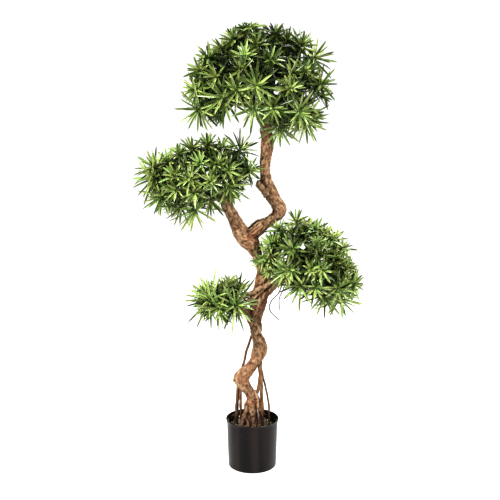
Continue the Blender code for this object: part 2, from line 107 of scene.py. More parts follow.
def seen_at(place):
    """The pixel of the photograph at which a place shows."""
    x, y, z = place - CAMERA_PLACE
    scale = FOCAL_PIXELS / (y * TILT_COS + z * TILT_SIN)
    return PHOTO_SIDE / 2 + scale * x, PHOTO_SIDE / 2 - scale * (z * TILT_COS - y * TILT_SIN)


# %% [markdown]
# Finishes are shader nodes, and sums in a node editor soon turn into a web. A small class that wraps
# a socket and overloads the operators lets a finish be written as an expression instead. A second
# one holds a material and adds any other node in one call, with its settings first.

# %% Numbers in a finish


class Value:
    """A number in a finish. Arithmetic on it adds Math nodes."""

    def __init__(self, finish, socket):
        self.finish = finish
        self.socket = socket

    def math(self, operation, *numbers):
        return self.finish.node("ShaderNodeMath", {"operation": operation}, dict(enumerate(numbers)))

    def __add__(self, other):
        return self.math("ADD", self, other)

    def __sub__(self, other):
        return self.math("SUBTRACT", self, other)

    def __rsub__(self, other):
        return self.math("SUBTRACT", other, self)

    def __mul__(self, other):
        return self.math("MULTIPLY", self, other)

    __radd__ = __add__
    __rmul__ = __mul__


# %% Finishes


class Finish:
    """A material built round one Principled shader."""

    def __init__(self, name, **fixed):
        self.material = bpy.data.materials.new(name)
        self.material.use_nodes = True
        self.tree = self.material.node_tree
        self.shader = self.tree.nodes["Principled BSDF"]
        for socket, value in fixed.items():
            self.shader.inputs[socket.replace("_", " ")].default_value = value

    def node(self, kind, settings=None, sockets=None, output=0):
        """Adds a node: its settings first, then its sockets' values or links."""
        node = self.tree.nodes.new(kind)
        for name, value in (settings or {}).items():
            if name == "stops":
                self.set_stops(node.color_ramp, value)
            else:
                setattr(node, name, value)
        for key, value in (sockets or {}).items():
            self.feed(node.inputs[key], value)
        return Value(self, node.outputs[output])

    def feed(self, socket, value):
        if isinstance(value, Value):
            self.tree.links.new(value.socket, socket)
        else:
            socket.default_value = value

    @staticmethod
    def set_stops(ramp, stops):
        while len(ramp.elements) < len(stops):
            ramp.elements.new(1.0)
        for element, (place, colour) in zip(ramp.elements, stops):
            element.position = place
            element.color = (*colour, 1.0)

    def coordinates(self, stretch=(1.0, 1.0, 1.0)):
        place = self.node("ShaderNodeTexCoord", output="Object")
        return self.node("ShaderNodeVectorMath", {"operation": "MULTIPLY"}, {0: place, 1: stretch})

    def noise(self, place, scale, detail=3.0, roughness=0.55):
        sockets = {"Vector": place, "Scale": scale, "Detail": detail, "Roughness": roughness}
        return self.node("ShaderNodeTexNoise", None, sockets)

    def ramp(self, factor, *stops):
        return self.node("ShaderNodeValToRGB", {"stops": stops}, {"Fac": factor})

    def blend(self, factor, first, second, how="MIX"):
        settings = {"data_type": "RGBA", "blend_type": how, "clamp_factor": True}
        first, second = (c if isinstance(c, Value) else (*c, 1.0) for c in (first, second))
        return self.node("ShaderNodeMix", settings, {0: factor, 6: first, 7: second}, output=2)

    def spread(self, value, low, high, to_low=0.0, to_high=1.0):
        """A value from low to high, moved onto another range and held there."""
        sockets = {0: value, 1: low, 2: high, 3: to_low, 4: to_high}
        return self.node("ShaderNodeMapRange", {"clamp": True}, sockets)

    def mottle(self, scale, detail, dark, light):
        """Makes the colour noise between a dark and a light one. Returns the noise."""
        shade = self.noise(self.coordinates(), scale, detail)
        self.surface(Base_Color=self.ramp(shade, (0.3, dark), (0.7, light)))
        return shade

    def bump(self, height, strength, distance):
        sockets = {"Height": height, "Strength": strength, "Distance": distance}
        self.surface(Normal=self.node("ShaderNodeBump", None, sockets))

    def surface(self, **sockets):
        for name, value in sockets.items():
            self.feed(self.shader.inputs[name.replace("_", " ")], value)


# %% [markdown]
# Every piece below is a closed mesh made from points and faces, so one small collector is enough.
# It takes any number of tubes or leaves and gives one object. Thousands of separate objects would
# be slow to open and hard to hand on.

# %% A collector for closed surfaces


class Shell:
    """Points and faces of closed surfaces that become one object."""

    def __init__(self):
        self.points = []
        self.faces = []

    def add(self, points, faces):
        first = len(self.points)
        self.points.extend(points)
        self.faces.extend([tuple(first + i for i in face) for face in faces])

    def make(self, name, sharp_angle=None):
        mesh = bpy.data.meshes.new(name)
        mesh.from_pydata(self.points, [], self.faces)
        mesh.shade_smooth()
        if sharp_angle is not None:
            mesh.set_sharp_from_angle(angle=sharp_angle)
        made = bpy.data.objects.new(name, mesh)
        bpy.context.scene.collection.objects.link(made)
        return made


def strips(first, rings, sides):
    """Four-cornered faces between rings of points that follow each other from a first point."""
    return [
        (low + i, low + (i + 1) % sides, low + sides + (i + 1) % sides, low + sides + i)
        for low in range(first, first + (rings - 1) * sides, sides)
        for i in range(sides)
    ]


def around(radius, turn, height):
    """A place at a distance from the Z axis and a turn about it."""
    return Vector((radius * math.cos(turn), radius * math.sin(turn), height))


def dress(piece, finish, slot, *nodes):
    """Gives a piece its finish, its body and the solids that it stands for."""
    piece.data.materials.clear()
    piece.data.materials.append(finish.material)
    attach(piece, "root")
    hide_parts(*nodes)
    piece.data.calc_loop_triangles()
    print(piece.name, len(piece.data.loop_triangles), "triangles")


# %% [markdown]
# A limb is a smooth curve through a few stations, each a place and a radius. The cross axes are
# carried along the curve, so that nothing on the limb twists by itself.

# %% Curves and cross axes


def curved(route, step):
    """Stations a step apart or so, on a smooth curve through the route's own."""
    stations = np.array(route, float)
    ends = np.vstack([2 * stations[0] - stations[1], stations, 2 * stations[-1] - stations[-2]])
    made = []
    for a, b, c, d in zip(ends, ends[1:], ends[2:], ends[3:]):
        parts = max(1, round(float(np.linalg.norm((c - b)[:3])) / step))
        for t in np.arange(parts) / parts:
            square = (2 * a - 5 * b + 4 * c - d) * t**2
            cube = (3 * b - a - 3 * c + d) * t**3
            made.append(((2 * b + (c - a) * t + square + cube) / 2).tolist())
    made.append(ends[-2].tolist())
    return made


def cross_frames(stations):
    """Each station's place and its two cross axes, carried along with no sudden twist."""
    places = [Vector(station[:3]) for station in stations]
    across = None
    frames = []
    for i, place in enumerate(places):
        way = (places[min(i + 1, len(places) - 1)] - places[max(i - 1, 0)]).normalized()
        across = way.orthogonal() if across is None else across - way * across.dot(way)
        across.normalize()
        frames.append((place, across.copy(), way.cross(across)))
    return frames


def spoke(u, v, turn):
    """The way out at a turn between two cross axes."""
    return u * math.cos(turn) + v * math.sin(turn)


def add_tube(shell, stations, sides, bulge=None):
    """Adds a closed tube. Bulge gives a share of the radius at a station's number and turn."""
    points = []
    for i, (station, (place, u, v)) in enumerate(zip(stations, cross_frames(stations))):
        for k in range(sides):
            turn = math.tau * k / sides
            radius = station[3] * (bulge(i, turn) if bulge else 1.0)
            points.append(place + radius * spoke(u, v, turn))
    ends = [tuple(reversed(range(sides))), tuple(range(len(points) - sides, len(points)))]
    shell.add(points, ends + strips(0, len(stations), sides))


# %% [markdown]
# The wood is natural: a climbing trunk that winds, forks and is wrapped by strands of its own.
# It could be sculpted by hand, but a hand-made sculpt can't be read or changed later. So each limb
# is a tube, smaller strands wind round it, and one voxel remesh melts them all into a single skin.

# %% Routes of the limbs


def from_mm(route):
    """A route whose places and radii are written in millimetres, in metres."""
    return [tuple(round(x / 1000, 5) for x in station) for station in route]


TRUNK_ROUTE = from_mm([
    (-6, 0, 135, 27), (0, 0, 205, 21.3), (-5, -3, 255, 17.4), (-26, -10, 288, 21.1),
    (-36, -10, 319, 26.8), (-2, -2, 358, 19.3), (12, 2, 379, 21.1), (25, 6, 410, 25.5),
    (26, 8, 436, 23.5), (14, 4, 467, 18.2), (13, 1, 489, 21.3), (8, 0, 519, 22.9), (15, -1, 556, 24.9),
    (22, -2, 590, 28.6), (34, 0, 638, 28.2), (34, 2, 690, 21), (18, 2, 739, 17.9), (1, 0, 776, 26.6),
    (-28, 0, 809, 30.3), (-47, -2, 838, 26.5),
])
TOE_ROUTES = [from_mm(route) for route in [
    [(-14, -4, 215, 10), (-30, -14, 168, 11), (-48, -24, 135, 10)],
    [(0, -6, 210, 10), (4, -20, 170, 11), (10, -34, 135, 10)],
    [(-2, 6, 205, 10), (-10, 22, 168, 11), (-20, 38, 135, 9)],
    [(4, -4, 268, 9), (18, -8, 235, 10), (26, -10, 188, 10), (28, -12, 135, 10)],
]]
BOUGH_ROUTES = {name: from_mm(route) for name, route in {
    "upper_trunk": [
        (-9, 0, 813, 21.5), (14, 3, 829, 23.6), (34, 5, 846, 21.9), (55, 8, 858, 18.2),
        (76, 10, 873, 18.8),
    ],
    "top_bough": [
        (69, 10, 868, 17.5), (88, 10, 886, 22.2), (91, 10, 902, 23.5), (79, 9, 923, 21.8),
        (63, 6, 953, 23.7), (51, 1, 981, 21.3), (43, 0, 1014, 17.6), (42, 0, 1056, 17.9),
        (48, 0, 1100, 21.2), (50, 0, 1129, 20.8), (45, 0, 1170, 19.8), (37, 0, 1235, 15.5),
    ],
    "left_bough": [
        (-38, -1, 825, 25), (-54, -4, 856, 21.1), (-73, -8, 893, 19.7), (-94, -12, 930, 18),
        (-118, -16, 962, 14.5),
    ],
    "right_bough": [
        (46, 0, 626, 23.1), (75, -6, 652, 20.3), (103, -16, 672, 16.2), (130, -22, 690, 13),
    ],
    "low_bough": [
        (8, 0, 502, 14.4), (-9, -6, 533, 15.7), (-26, -11, 558, 14.6), (-46, -17, 577, 12.5),
        (-66, -22, 590, 10.5),
    ],
    "broken_stub": [(26, 0, 612, 11.9), (-4, -2, 608, 11.2), (-28, -4, 602, 9.5)],
    "knot_stub": [(51, 0, 979, 11.3), (27, -4, 987, 10), (15, -6, 991, 8)],
}.items()}
print("limbs:", 1 + len(TOE_ROUTES) + len(BOUGH_ROUTES))

# %% Sizes of tubes and strands
LIMB_STEP = 0.004
LIMB_SIDES = 28
STRAND_SIDES = 12
STRAND_SINK = 0.80
STRAND_RADIUS = (0.20, 0.34)
STRAND_TURNS = (0.25, 0.55)
STRAND_LENGTH = (0.30, 0.60)
STRAND_FIRST = -0.05
THINNEST_STRAND = 0.001
STRANDS = {"trunk": 16, "upper_trunk": 7, "top_bough": 9, "left_bough": 5, "right_bough": 4}
# Strands that cross the trunk's front from the broken stub to the right bough, and the knee's nub
CROSSING_STRANDS = [from_mm(route) for route in [
    [
        (-35, -10, 598, 8), (-11, -20, 613, 9), (12, -25, 626, 10), (32, -24, 637, 11),
        (56, -18, 650, 12.5), (83, -12, 663, 12.5),
    ],
    [
        (-28, -12, 578, 7), (-6, -22, 593, 7.4), (12, -26, 610, 7.8), (31, -27, 626, 7.4),
        (50, -18, 642, 6),
    ],
    [(-46, -12, 330, 12), (-58, -13, 315, 8.5), (-62, -13, 303, 5.5)],
    # The knot stub's shoulder, the elbow's point, and the swelling from the fork into the left bough
    [(52, -6, 946, 16), (35, -7, 971, 15), (18, -6, 989, 11)],
    [(86, 8, 893, 16), (104, 6, 893, 10), (114, 5, 896, 4)],
    [(-30, 0, 812, 28), (-50, -3, 846, 25), (-66, -6, 878, 20)],
]]
FOOT_MIDDLE = (-0.006, -0.002)
FOOT_ROOTS = 34
FOOT_START = (0.180, 0.235)
FOOT_SPREAD = (0.021, 0.042)
FOOT_RADIUS = (0.0018, 0.0038)
FOOT_TURN = 1.5
FOOT_FALL = 0.022
FOOT_LANDING = 0.164
FOOT_END = 0.137
# Ridges along the front of the limb that leaves the fork: each one's share of the way up its side
RIDGE_SHARES = (1.02, 0.72, 0.40, 0.05)
RIDGE_RADIUS = 0.0042
RIDGE_UP = Vector((-0.53, 0.0, 0.85))
RIDGE_STATIONS = 3
WOOD_VOXEL = 0.0019
WOOD_SMOOTHING = 5

# %% How strands, thin roots and ridges run


def strand_route(stations, draw):
    """A strand that winds round part of a limb, half sunk in it, and thins out at both ends."""
    length = draw.uniform(*STRAND_LENGTH)
    first = draw.uniform(STRAND_FIRST, 1.0 - length)
    start_turn = draw.uniform(0, math.tau)
    turns = draw.uniform(*STRAND_TURNS)
    share = draw.uniform(*STRAND_RADIUS)
    route = []
    for i, (station, (place, u, v)) in enumerate(zip(stations, cross_frames(stations))):
        along = (i / (len(stations) - 1) - first) / length
        if not 0 <= along <= 1:
            continue
        turn = start_turn + math.tau * turns * along
        thin = math.sin(math.pi * along) ** 0.5
        out = station[3] * STRAND_SINK * (0.75 + 0.25 * thin)
        radius = max(THINNEST_STRAND, station[3] * share * thin)
        route.append((*(place + out * spoke(u, v, turn)), radius))
    return route


def foot_roots(draw):
    """Thin roots that lie over the foot of the trunk and spread out towards the filling."""
    made = []
    for _ in range(FOOT_ROOTS):
        turn = draw.uniform(0, math.tau)
        spread = draw.uniform(*FOOT_SPREAD)
        start, end = draw.uniform(*FOOT_START), turn + draw.uniform(-FOOT_TURN, FOOT_TURN)
        size = draw.uniform(*FOOT_RADIUS)
        stations = [
            (turn, 0.6 * FOOT_SPREAD[0], start, size / 2),
            (turn, FOOT_SPREAD[0], start - FOOT_FALL, size),
            (end, 0.8 * spread, FOOT_LANDING, size),
            (end, spread, FOOT_END, size),
        ]
        x, y = FOOT_MIDDLE
        made.append([
            (x + reach * math.cos(angle), y + reach * math.sin(angle), height, radius)
            for angle, reach, height, radius in stations
        ])
    return made


def fork_ridges():
    """Lengthwise ridges on the front of the limb that leaves the fork, with grooves between them."""
    made = []
    for share in RIDGE_SHARES:
        route = []
        for x, y, z, radius in BOUGH_ROUTES["upper_trunk"][:RIDGE_STATIONS]:
            forward = math.sqrt(max(0.0, 1 - share**2))
            place = Vector((x, y - radius * forward, z)) + RIDGE_UP * radius * share
            route.append((*place, RIDGE_RADIUS))
        made.append(route)
    return made


# %% All tubes of the wood
wood_draw = random.Random(7)
wood = Shell()
for name, route in {"trunk": TRUNK_ROUTE, **BOUGH_ROUTES}.items():
    stations = curved(route, LIMB_STEP)
    add_tube(wood, stations, LIMB_SIDES)
    for _ in range(STRANDS.get(name, 0)):
        add_tube(wood, strand_route(stations, wood_draw), STRAND_SIDES)
for route in TOE_ROUTES:
    add_tube(wood, curved(route, LIMB_STEP), LIMB_SIDES)
for route in [*CROSSING_STRANDS, *foot_roots(wood_draw), *fork_ridges()]:
    add_tube(wood, curved(route, LIMB_STEP), STRAND_SIDES)
bark = wood.make("bark")
print("tubes:", len(wood.faces), "faces")

# %% Melt the tubes into one skin
remesh = bark.modifiers.new("melt", "REMESH")
remesh.mode = "VOXEL"
remesh.voxel_size = WOOD_VOXEL
remesh.use_smooth_shade = True
smooth = bark.modifiers.new("smooth", "SMOOTH")
smooth.iterations = WOOD_SMOOTHING
skin = bpy.data.meshes.new_from_object(bark.evaluated_get(bpy.context.evaluated_depsgraph_get()))
bark.modifiers.clear()
bark.data = skin
print("skin:", len(bark.data.vertices), "points")

# %% [markdown]
# Bark furrows run with the grain, and the grain winds round the limb. Each point of the skin looks up
# the nearest place on a limb's middle line, which gives it a distance along and a turn around. Noise
# that is long in the first and short in the second makes furrows. Each point keeps how deep it lies
# in them and in the hollows between strands, so that the finish can paint shade there.

# %% Sizes of the bark's relief
GRAIN_WIND = 11.0
GRAIN_STRETCH = 3.2
FURROW_SCALE = 105.0
FURROW_FINER = 2.1
FURROW_NARROW = 2.2
FURROW_DEPTH = 0.0022
GRAIN_BEND = 0.004
GRAIN_BEND_SCALE = 45.0
KNOB_SCALE = 38.0
KNOB_DEPTH = 0.0024
LUMP_SCALE = 120.0
LUMP_DEPTH = 0.0022
FIBRE_SCALE = 300.0
FIBRE_DEPTH = 0.0006
SHALLOWEST = -1.2
HOLLOW_ROUNDS = 14
# Painted shade: how much darker the finish makes the hollows and the furrows
HOLLOW_SHADE = 620.0
FURROW_SHADE = 0.42

# %% Where the grain runs


def limb_stations(step):
    """The stations of every limb, limb by limb."""
    return [curved(route, step) for route in [TRUNK_ROUTE, *BOUGH_ROUTES.values(), *TOE_ROUTES]]


def middle_lines():
    """Every limb's stations as (place, cross axes, distance along), and a tree to look them up."""
    lines = []
    for stations in limb_stations(LIMB_STEP):
        lines += [(*axes, i * LIMB_STEP) for i, axes in enumerate(cross_frames(stations))]
    tree = KDTree(len(lines))
    for i, line in enumerate(lines):
        tree.insert(line[0], i)
    tree.balance()
    return lines, tree


def grain_place(point, lines, tree):
    """The point in a space where furrows run along the third axis."""
    place, u, v, along = lines[tree.find(point)[1]]
    out = point - place
    turn = math.atan2(out.dot(v), out.dot(u)) + GRAIN_WIND * along
    return around(out.length, turn, along / GRAIN_STRETCH)


# %% Heights and hollows


def furrows(place):
    """How deep a place lies in furrows, which run where the noise passes through zero."""
    return 1.0 - FURROW_NARROW * abs(noise.noise(place))


def bark_height(grain, point):
    """Furrows, knobs and fibres, as a height in metres and the furrow's own share."""
    bent = grain + GRAIN_BEND * noise.noise_vector(point * GRAIN_BEND_SCALE)
    furrow = furrows(bent * FURROW_SCALE) + 0.5 * furrows(bent * FURROW_SCALE * FURROW_FINER)
    furrow = max(SHALLOWEST, furrow - 0.6)
    lump = noise.noise(point * LUMP_SCALE)
    height = -FURROW_DEPTH * max(0.0, furrow) + KNOB_DEPTH * noise.noise(point * KNOB_SCALE)
    height += LUMP_DEPTH * lump + FIBRE_DEPTH * noise.noise(bent * FIBRE_SCALE)
    return height, furrow - lump


def hollowness(mesh):
    """How far each point lies under the smoothed skin round it, in metres."""
    count = len(mesh.vertices)
    ends = np.empty(len(mesh.edges) * 2, np.int32)
    mesh.edges.foreach_get("vertices", ends)
    starts, stops = ends.reshape(-1, 2).T
    places, normals = np.empty(count * 3), np.empty(count * 3)
    mesh.vertices.foreach_get("co", places)
    mesh.vertices.foreach_get("normal", normals)
    places, normals = places.reshape(-1, 3), normals.reshape(-1, 3)
    degree = np.maximum(1, np.bincount(ends, minlength=count))
    smooth = places.T.copy()
    for _ in range(HOLLOW_ROUNDS):
        smooth = np.array([
            (np.bincount(starts, line[stops], count) + np.bincount(stops, line[starts], count)) / degree
            for line in smooth
        ])
    return ((smooth.T - places) * normals).sum(axis=1).tolist()


# %% Carve the bark


def keep_grain(mesh, relief, grains):
    """Keeps the relief and the grain's place on each point, for the finish."""
    mesh.attributes.new("relief", "FLOAT", "POINT").data.foreach_set("value", relief)
    mesh.attributes.new("grain", "FLOAT_VECTOR", "POINT").data.foreach_set("vector", grains)


def carve_bark(mesh):
    """Raises and lowers the skin's points by the relief, and keeps how deep and where each lies."""
    lines, tree = middle_lines()
    relief = []
    grains = []
    moved = []
    for vert, hollow in zip(mesh.vertices, hollowness(mesh)):
        grain = grain_place(vert.co, lines, tree)
        height, furrow = bark_height(grain, vert.co)
        # Relief is low in furrows and hollows, which the finish paints as shade, and high on crests,
        # which it paints pale
        relief.append(min(1.0, max(0.0, 0.5 - FURROW_SHADE * furrow - HOLLOW_SHADE * hollow)))
        grains.extend(grain)
        moved.extend(vert.co + vert.normal * height)
    mesh.vertices.foreach_set("co", moved)
    keep_grain(mesh, relief, grains)
    mesh.update()


carve_bark(bark.data)
print("bark box:", [round(x * 1000) for x in bark.dimensions], "mm")

# %% [markdown]
# The bark is a warm brown with tan and reddish patches and pale specks. Painted shade makes it almost
# black in the furrows and hollows, painted light makes the crests pale, and painted shade darkens it
# near the filling. It has no gloss. Layers of noise are mixed in that order, and the relief that was
# kept on the mesh decides where that light and shade are painted.

# %% Bark finish
BARK_DARK = (0.024, 0.011, 0.005)
BARK_BROWN = (0.125, 0.067, 0.033)
BARK_TAN = (0.258, 0.165, 0.092)
BARK_PALE = (0.470, 0.360, 0.250)
BARK_RED = (0.190, 0.070, 0.036)
BARK_BLEACHED = (0.360, 0.350, 0.320)
# Painted shade on the wood near the filling, fading out between these heights
BARK_FOOT_SHADE = (0.034, 0.013, 0.006)
FOOT_SHADE_HEIGHTS = (0.182, 0.245)
PATCH_SCALE = 26.0
RED_SCALE = 15.0
SPECK_SCALE = 260.0
FIBRE_LINES = 420.0
BLOTCH_LINES = 150.0


def bark_finish(name, tint=(1.0, 1.0, 1.0), bleached=0.0):
    made = Finish(name, Roughness=0.85, Specular_IOR_Level=0.25)
    relief = made.node("ShaderNodeAttribute", {"attribute_name": "relief"}, output="Fac")
    grain = made.node("ShaderNodeAttribute", {"attribute_name": "grain"}, output="Vector")
    place = made.coordinates()
    patch = made.noise(place, PATCH_SCALE)
    fibre = made.noise(grain, FIBRE_LINES, 4.0, 0.65)
    speck = made.noise(place, SPECK_SCALE, 2.0)
    blotch = made.noise(grain, BLOTCH_LINES, 4.0, 0.65)
    # The relief paints shade into furrows and hollows and paints the crests pale
    level = relief * 0.62 + fibre * 0.42 + patch * 0.13 + blotch * 0.62 - 0.455
    stops = [(0.10, BARK_DARK), (0.38, BARK_BROWN), (0.66, BARK_TAN), (0.95, BARK_PALE)]
    colour = made.ramp(level, *stops)
    red = made.spread(made.noise(place, RED_SCALE, 2.0), 0.46, 0.68, 0.0, 0.50)
    colour = made.blend(red, colour, BARK_RED)
    colour = made.blend(made.spread(speck, 0.62, 0.75, 0.0, 0.5), colour, BARK_PALE)
    colour = made.blend(1.0, colour, tint, "MULTIPLY")
    colour = made.blend(bleached, colour, BARK_BLEACHED)
    height = made.node("ShaderNodeSeparateXYZ", None, {0: place}, output="Z")
    # Painted shade: darker towards the filling, and most in the hollows
    foot_shade = made.spread(height + patch * 0.02, *FOOT_SHADE_HEIGHTS, 1.0, 0.0) * (1.2 - relief * 0.5)
    colour = made.blend(foot_shade, colour, BARK_FOOT_SHADE)
    made.surface(Base_Color=colour, Roughness=made.spread(relief, 0.0, 1.0, 0.95, 0.72))
    made.bump(fibre * 0.7 + speck * 0.3, 0.55, 0.0012)
    return made


dress(bark, bark_finish("bark"), "bark", "trunk", *BOUGH_ROUTES)

# %% [markdown]
# Aerial roots hang from the trunk into the pot. They are rigid, thin and a little crooked. Each is a
# tube whose radius swells and narrows, with the same bark on it, and one of them is bleached grey.
# Two loose fibres hang under the right bough.

# %% Routes of aerial roots and fibres
ROOT_STEP = 0.0025
ROOT_SIDES = 18
ROOT_CROOK = 0.0016
CROOK_SCALE = 32.0
ROOT_SWELL = 0.22
SWELL_SCALE = 70.0
RIB_DEPTH = 0.16
RIB_SCALE = 1.6
RIB_STEP = 0.06
# Painted shade in the grooves between the ribs
RIB_SHADE = 3.0
ROOT_GRAIN_RADIUS = 0.006
ROOT_GRAIN_STEP = 0.0005
AERIAL_ROOT_ROUTES = {name: from_mm(route) for name, route in {
    "long_root": [
        (4, 4, 476, 4.4), (-16, 22, 420, 4.4), (-33, 28, 346, 4.6), (-48, 22, 284, 5.5),
        (-57, 2, 135, 7.2),
    ],
    "knee_root": [(-36, -12, 300, 5), (-41, -6, 250, 4.5), (-36, 6, 135, 4.8)],
    "right_root": [
        (25, 4, 384, 7.6), (27, -4, 343, 6.9), (30, -12, 281, 6.6), (34, -16, 221, 6.2),
        (34, -18, 135, 7.6),
    ],
    "short_root": [(27, 0, 356, 4.8), (24, -10, 309, 4.5), (17, -10, 263, 4.8)],
    "outer_root": [(22, 6, 384, 4), (37, 4, 314, 3.6), (56, -4, 230, 3.4), (60, -10, 135, 3.8)],
}.items()}
PALE_ROOT_ROUTE = from_mm([
    (16, -10, 212, 2), (21, -30, 192, 2.4), (22, -38, 168, 2.7), (22, -40, 135, 2.7),
])
FIBRE_ROUTES = {name: from_mm(route) for name, route in {
    "hanging_fibre_front": [
        (108, -18, 668, 2), (88, -22, 618, 1.9), (64, -26, 592, 1.9), (59, -26, 560, 1.9),
        (90, -24, 525, 1.6),
    ],
    "hanging_fibre_back": [
        (118, -16, 676, 1.8), (104, 4, 622, 1.6), (92, 6, 592, 1.5), (94, 4, 552, 1.4),
    ],
}.items()}
FIBRE_SIDES = 8

# %% Crooked and ribbed roots


def crooked(route):
    """The curve through a route, moved aside a little by slow noise."""
    made = []
    for x, y, z, radius in curved(route, ROOT_STEP):
        place = Vector((x, y, z))
        aside = noise.noise_vector(place * CROOK_SCALE) * ROOT_CROOK
        swell = 1 + ROOT_SWELL * noise.noise(place * SWELL_SCALE)
        made.append((*(place + aside), radius * swell))
    return made


def root_piece(name, routes):
    """Roots with fine lengthwise ribs, as one object that carries its grain and relief."""
    shell = Shell()
    relief = []
    grains = []

    def rib(i, turn):
        swell = RIB_DEPTH * noise.noise(around(1.0, turn, i * RIB_STEP) * RIB_SCALE)
        # Grooves get low relief, which the finish paints as shade
        relief.append(0.5 + RIB_SHADE * swell)
        grains.extend(around(ROOT_GRAIN_RADIUS, turn, i * ROOT_GRAIN_STEP))
        return 1 + swell

    for route in routes:
        add_tube(shell, crooked(route), ROOT_SIDES, rib)
    made = shell.make(name)
    keep_grain(made.data, relief, grains)
    return made


# %% Root and fibre finishes
ROOT_TINT = (0.82, 0.77, 0.72)
PALE_TINT = (0.9, 0.9, 0.9)
BLEACHED_SHARE = 0.75
FIBRE_GREY = (0.110, 0.095, 0.095)
FIBRE_DARK = (0.055, 0.045, 0.045)
FIBRE_MOTTLE_SCALE = 90.0

aerial_roots = root_piece("aerial_roots", AERIAL_ROOT_ROUTES.values())
dress(aerial_roots, bark_finish("root_bark", ROOT_TINT), "bark", *AERIAL_ROOT_ROUTES)
pale_root = root_piece("bleached_root", [PALE_ROOT_ROUTE])
dress(pale_root, bark_finish("bleached_bark", PALE_TINT, BLEACHED_SHARE), "pale_bark", "pale_root")

fibres = Shell()
for route in FIBRE_ROUTES.values():
    add_tube(fibres, curved(route, ROOT_STEP), FIBRE_SIDES)
fibre_grey = Finish("fibre", Roughness=0.8)
fibre_grey.mottle(FIBRE_MOTTLE_SCALE, 3.0, FIBRE_DARK, FIBRE_GREY)
dress(fibres.make("hanging_fibres"), fibre_grey, "pale_bark", *FIBRE_ROUTES)

# %% [markdown]
# The pot is a thin moulded nursery pot: straight walls with a slight draft, a collar and a rolled
# rim. A turned profile makes it, as a lathe would, with a few more points where an edge is round, so
# that the rim catches a line of light. Its black is browner in upright bands, where plastic flowed.

# %% Sizes of the pot
POT_HEIGHT = 0.170
POT_RIM_RADIUS = 0.090
POT_FOOT_RADIUS = 0.083
POT_WALL = 0.0018
POT_FLOOR = 0.003
COLLAR_HEIGHT = 0.014
COLLAR_STEP = 0.0014
LIP_HEIGHT = 0.003
FOOT_ROUND = 0.004
POT_SEGMENTS = 128
POT_SHARP = math.radians(38)

# %% Turned solids


def pot_radius(height):
    """The outer wall's radius, below the collar."""
    return POT_FOOT_RADIUS + (POT_RIM_RADIUS - COLLAR_STEP - POT_FOOT_RADIUS) * height / POT_HEIGHT


def arc(centre_radius, centre_height, size, first, last, parts=5):
    """Profile points on a circle's arc, with angles in degrees from outward to up."""
    turns = [math.radians(first + (last - first) * i / parts) for i in range(parts + 1)]
    return [(centre_radius + size * math.cos(t), centre_height + size * math.sin(t)) for t in turns]


def turned(profile, segments, surface=None):
    """A solid of revolution about Z. The profile starts and ends on the axis.

    Where a point of the profile has no height, the surface gives it from x and y.
    """
    points = []
    for i, (radius, height) in enumerate(profile):
        on_axis = i in (0, len(profile) - 1)
        for k in range(1 if on_axis else segments):
            point = around(radius, math.tau * k / segments, height or 0.0)
            if height is None:
                point.z = surface(point.x, point.y)
            points.append(point)
    last = len(points) - 1
    top = last - segments
    faces = strips(1, len(profile) - 2, segments)
    for i in range(segments):
        j = (i + 1) % segments
        faces += [(0, 1 + j, 1 + i), (last, top + i, top + j)]
    shell = Shell()
    shell.add(points, faces)
    return shell


# %% Pot
collar_foot = POT_HEIGHT - COLLAR_HEIGHT
lip_foot = POT_HEIGHT - LIP_HEIGHT
lip_half = LIP_HEIGHT / 2
wall_top = pot_radius(collar_foot)
lip_centre = POT_RIM_RADIUS + COLLAR_STEP - lip_half
outer = [
    (0.0, 0.0),
    *arc(pot_radius(FOOT_ROUND) - FOOT_ROUND, FOOT_ROUND, FOOT_ROUND, -90, 0),
    (wall_top, collar_foot),
    *arc(wall_top + COLLAR_STEP / 2, collar_foot + COLLAR_STEP, COLLAR_STEP / 2, -60, 0, 3),
    (POT_RIM_RADIUS, lip_foot - COLLAR_STEP),
    *arc(lip_centre, lip_foot + lip_half, lip_half, -30, 150, 8),
]
inner = [
    (POT_RIM_RADIUS - POT_WALL, lip_foot),
    (wall_top - POT_WALL, collar_foot),
    (pot_radius(POT_FLOOR) - POT_WALL, POT_FLOOR),
    (0.0, POT_FLOOR),
]
pot = turned(outer + inner, POT_SEGMENTS).make("nursery_pot", POT_SHARP)

# %% Pot finish
POT_BLACK = (0.0036, 0.0025, 0.0020)
POT_BAND = (0.0170, 0.0118, 0.0096)
POT_WORN = (0.024, 0.018, 0.014)

black_plastic = Finish("black_plastic", Roughness=0.3, Specular_IOR_Level=0.25)


def pot_noise(upright, scale, detail, roughness=0.55):
    """Noise on the pot. The smaller upright is, the longer its spots are drawn out upwards."""
    return black_plastic.noise(black_plastic.coordinates((1.0, 1.0, upright)), scale, detail, roughness)


band = pot_noise(0.05, 24.0, 1.0)
streak = pot_noise(0.12, 60.0, 3.0)
cloud = pot_noise(1.0, 14.0, 3.0)
scuff = pot_noise(4.0, 45.0, 5.0, 0.7)
pore = pot_noise(1.0, 900.0, 2.0)
banded = black_plastic.blend(black_plastic.spread(band, 0.38, 0.60), POT_BLACK, POT_BAND)
worn = black_plastic.spread(scuff + cloud * 0.3, 0.74, 0.95, 0.0, 0.6)
black_plastic.surface(
    Base_Color=black_plastic.blend(worn, banded, POT_WORN),
    Roughness=black_plastic.spread(streak * 0.5 + cloud * 0.5, 0.3, 0.7, 0.24, 0.40),
)
black_plastic.bump(pore * 0.4 + streak * 0.6, 0.12, 0.0006)
dress(pot, black_plastic, "black_plastic", "pot")

# %% [markdown]
# The filling hides the weight that the trunk stands in. It is a dark, crumbly layer, heaped a little
# round the foot, with loose crumbs and grit on it that also cling to the pot's wall. The layer is a
# disc whose rings are raised by noise. The crumbs are dented balls, one piece for each colour.

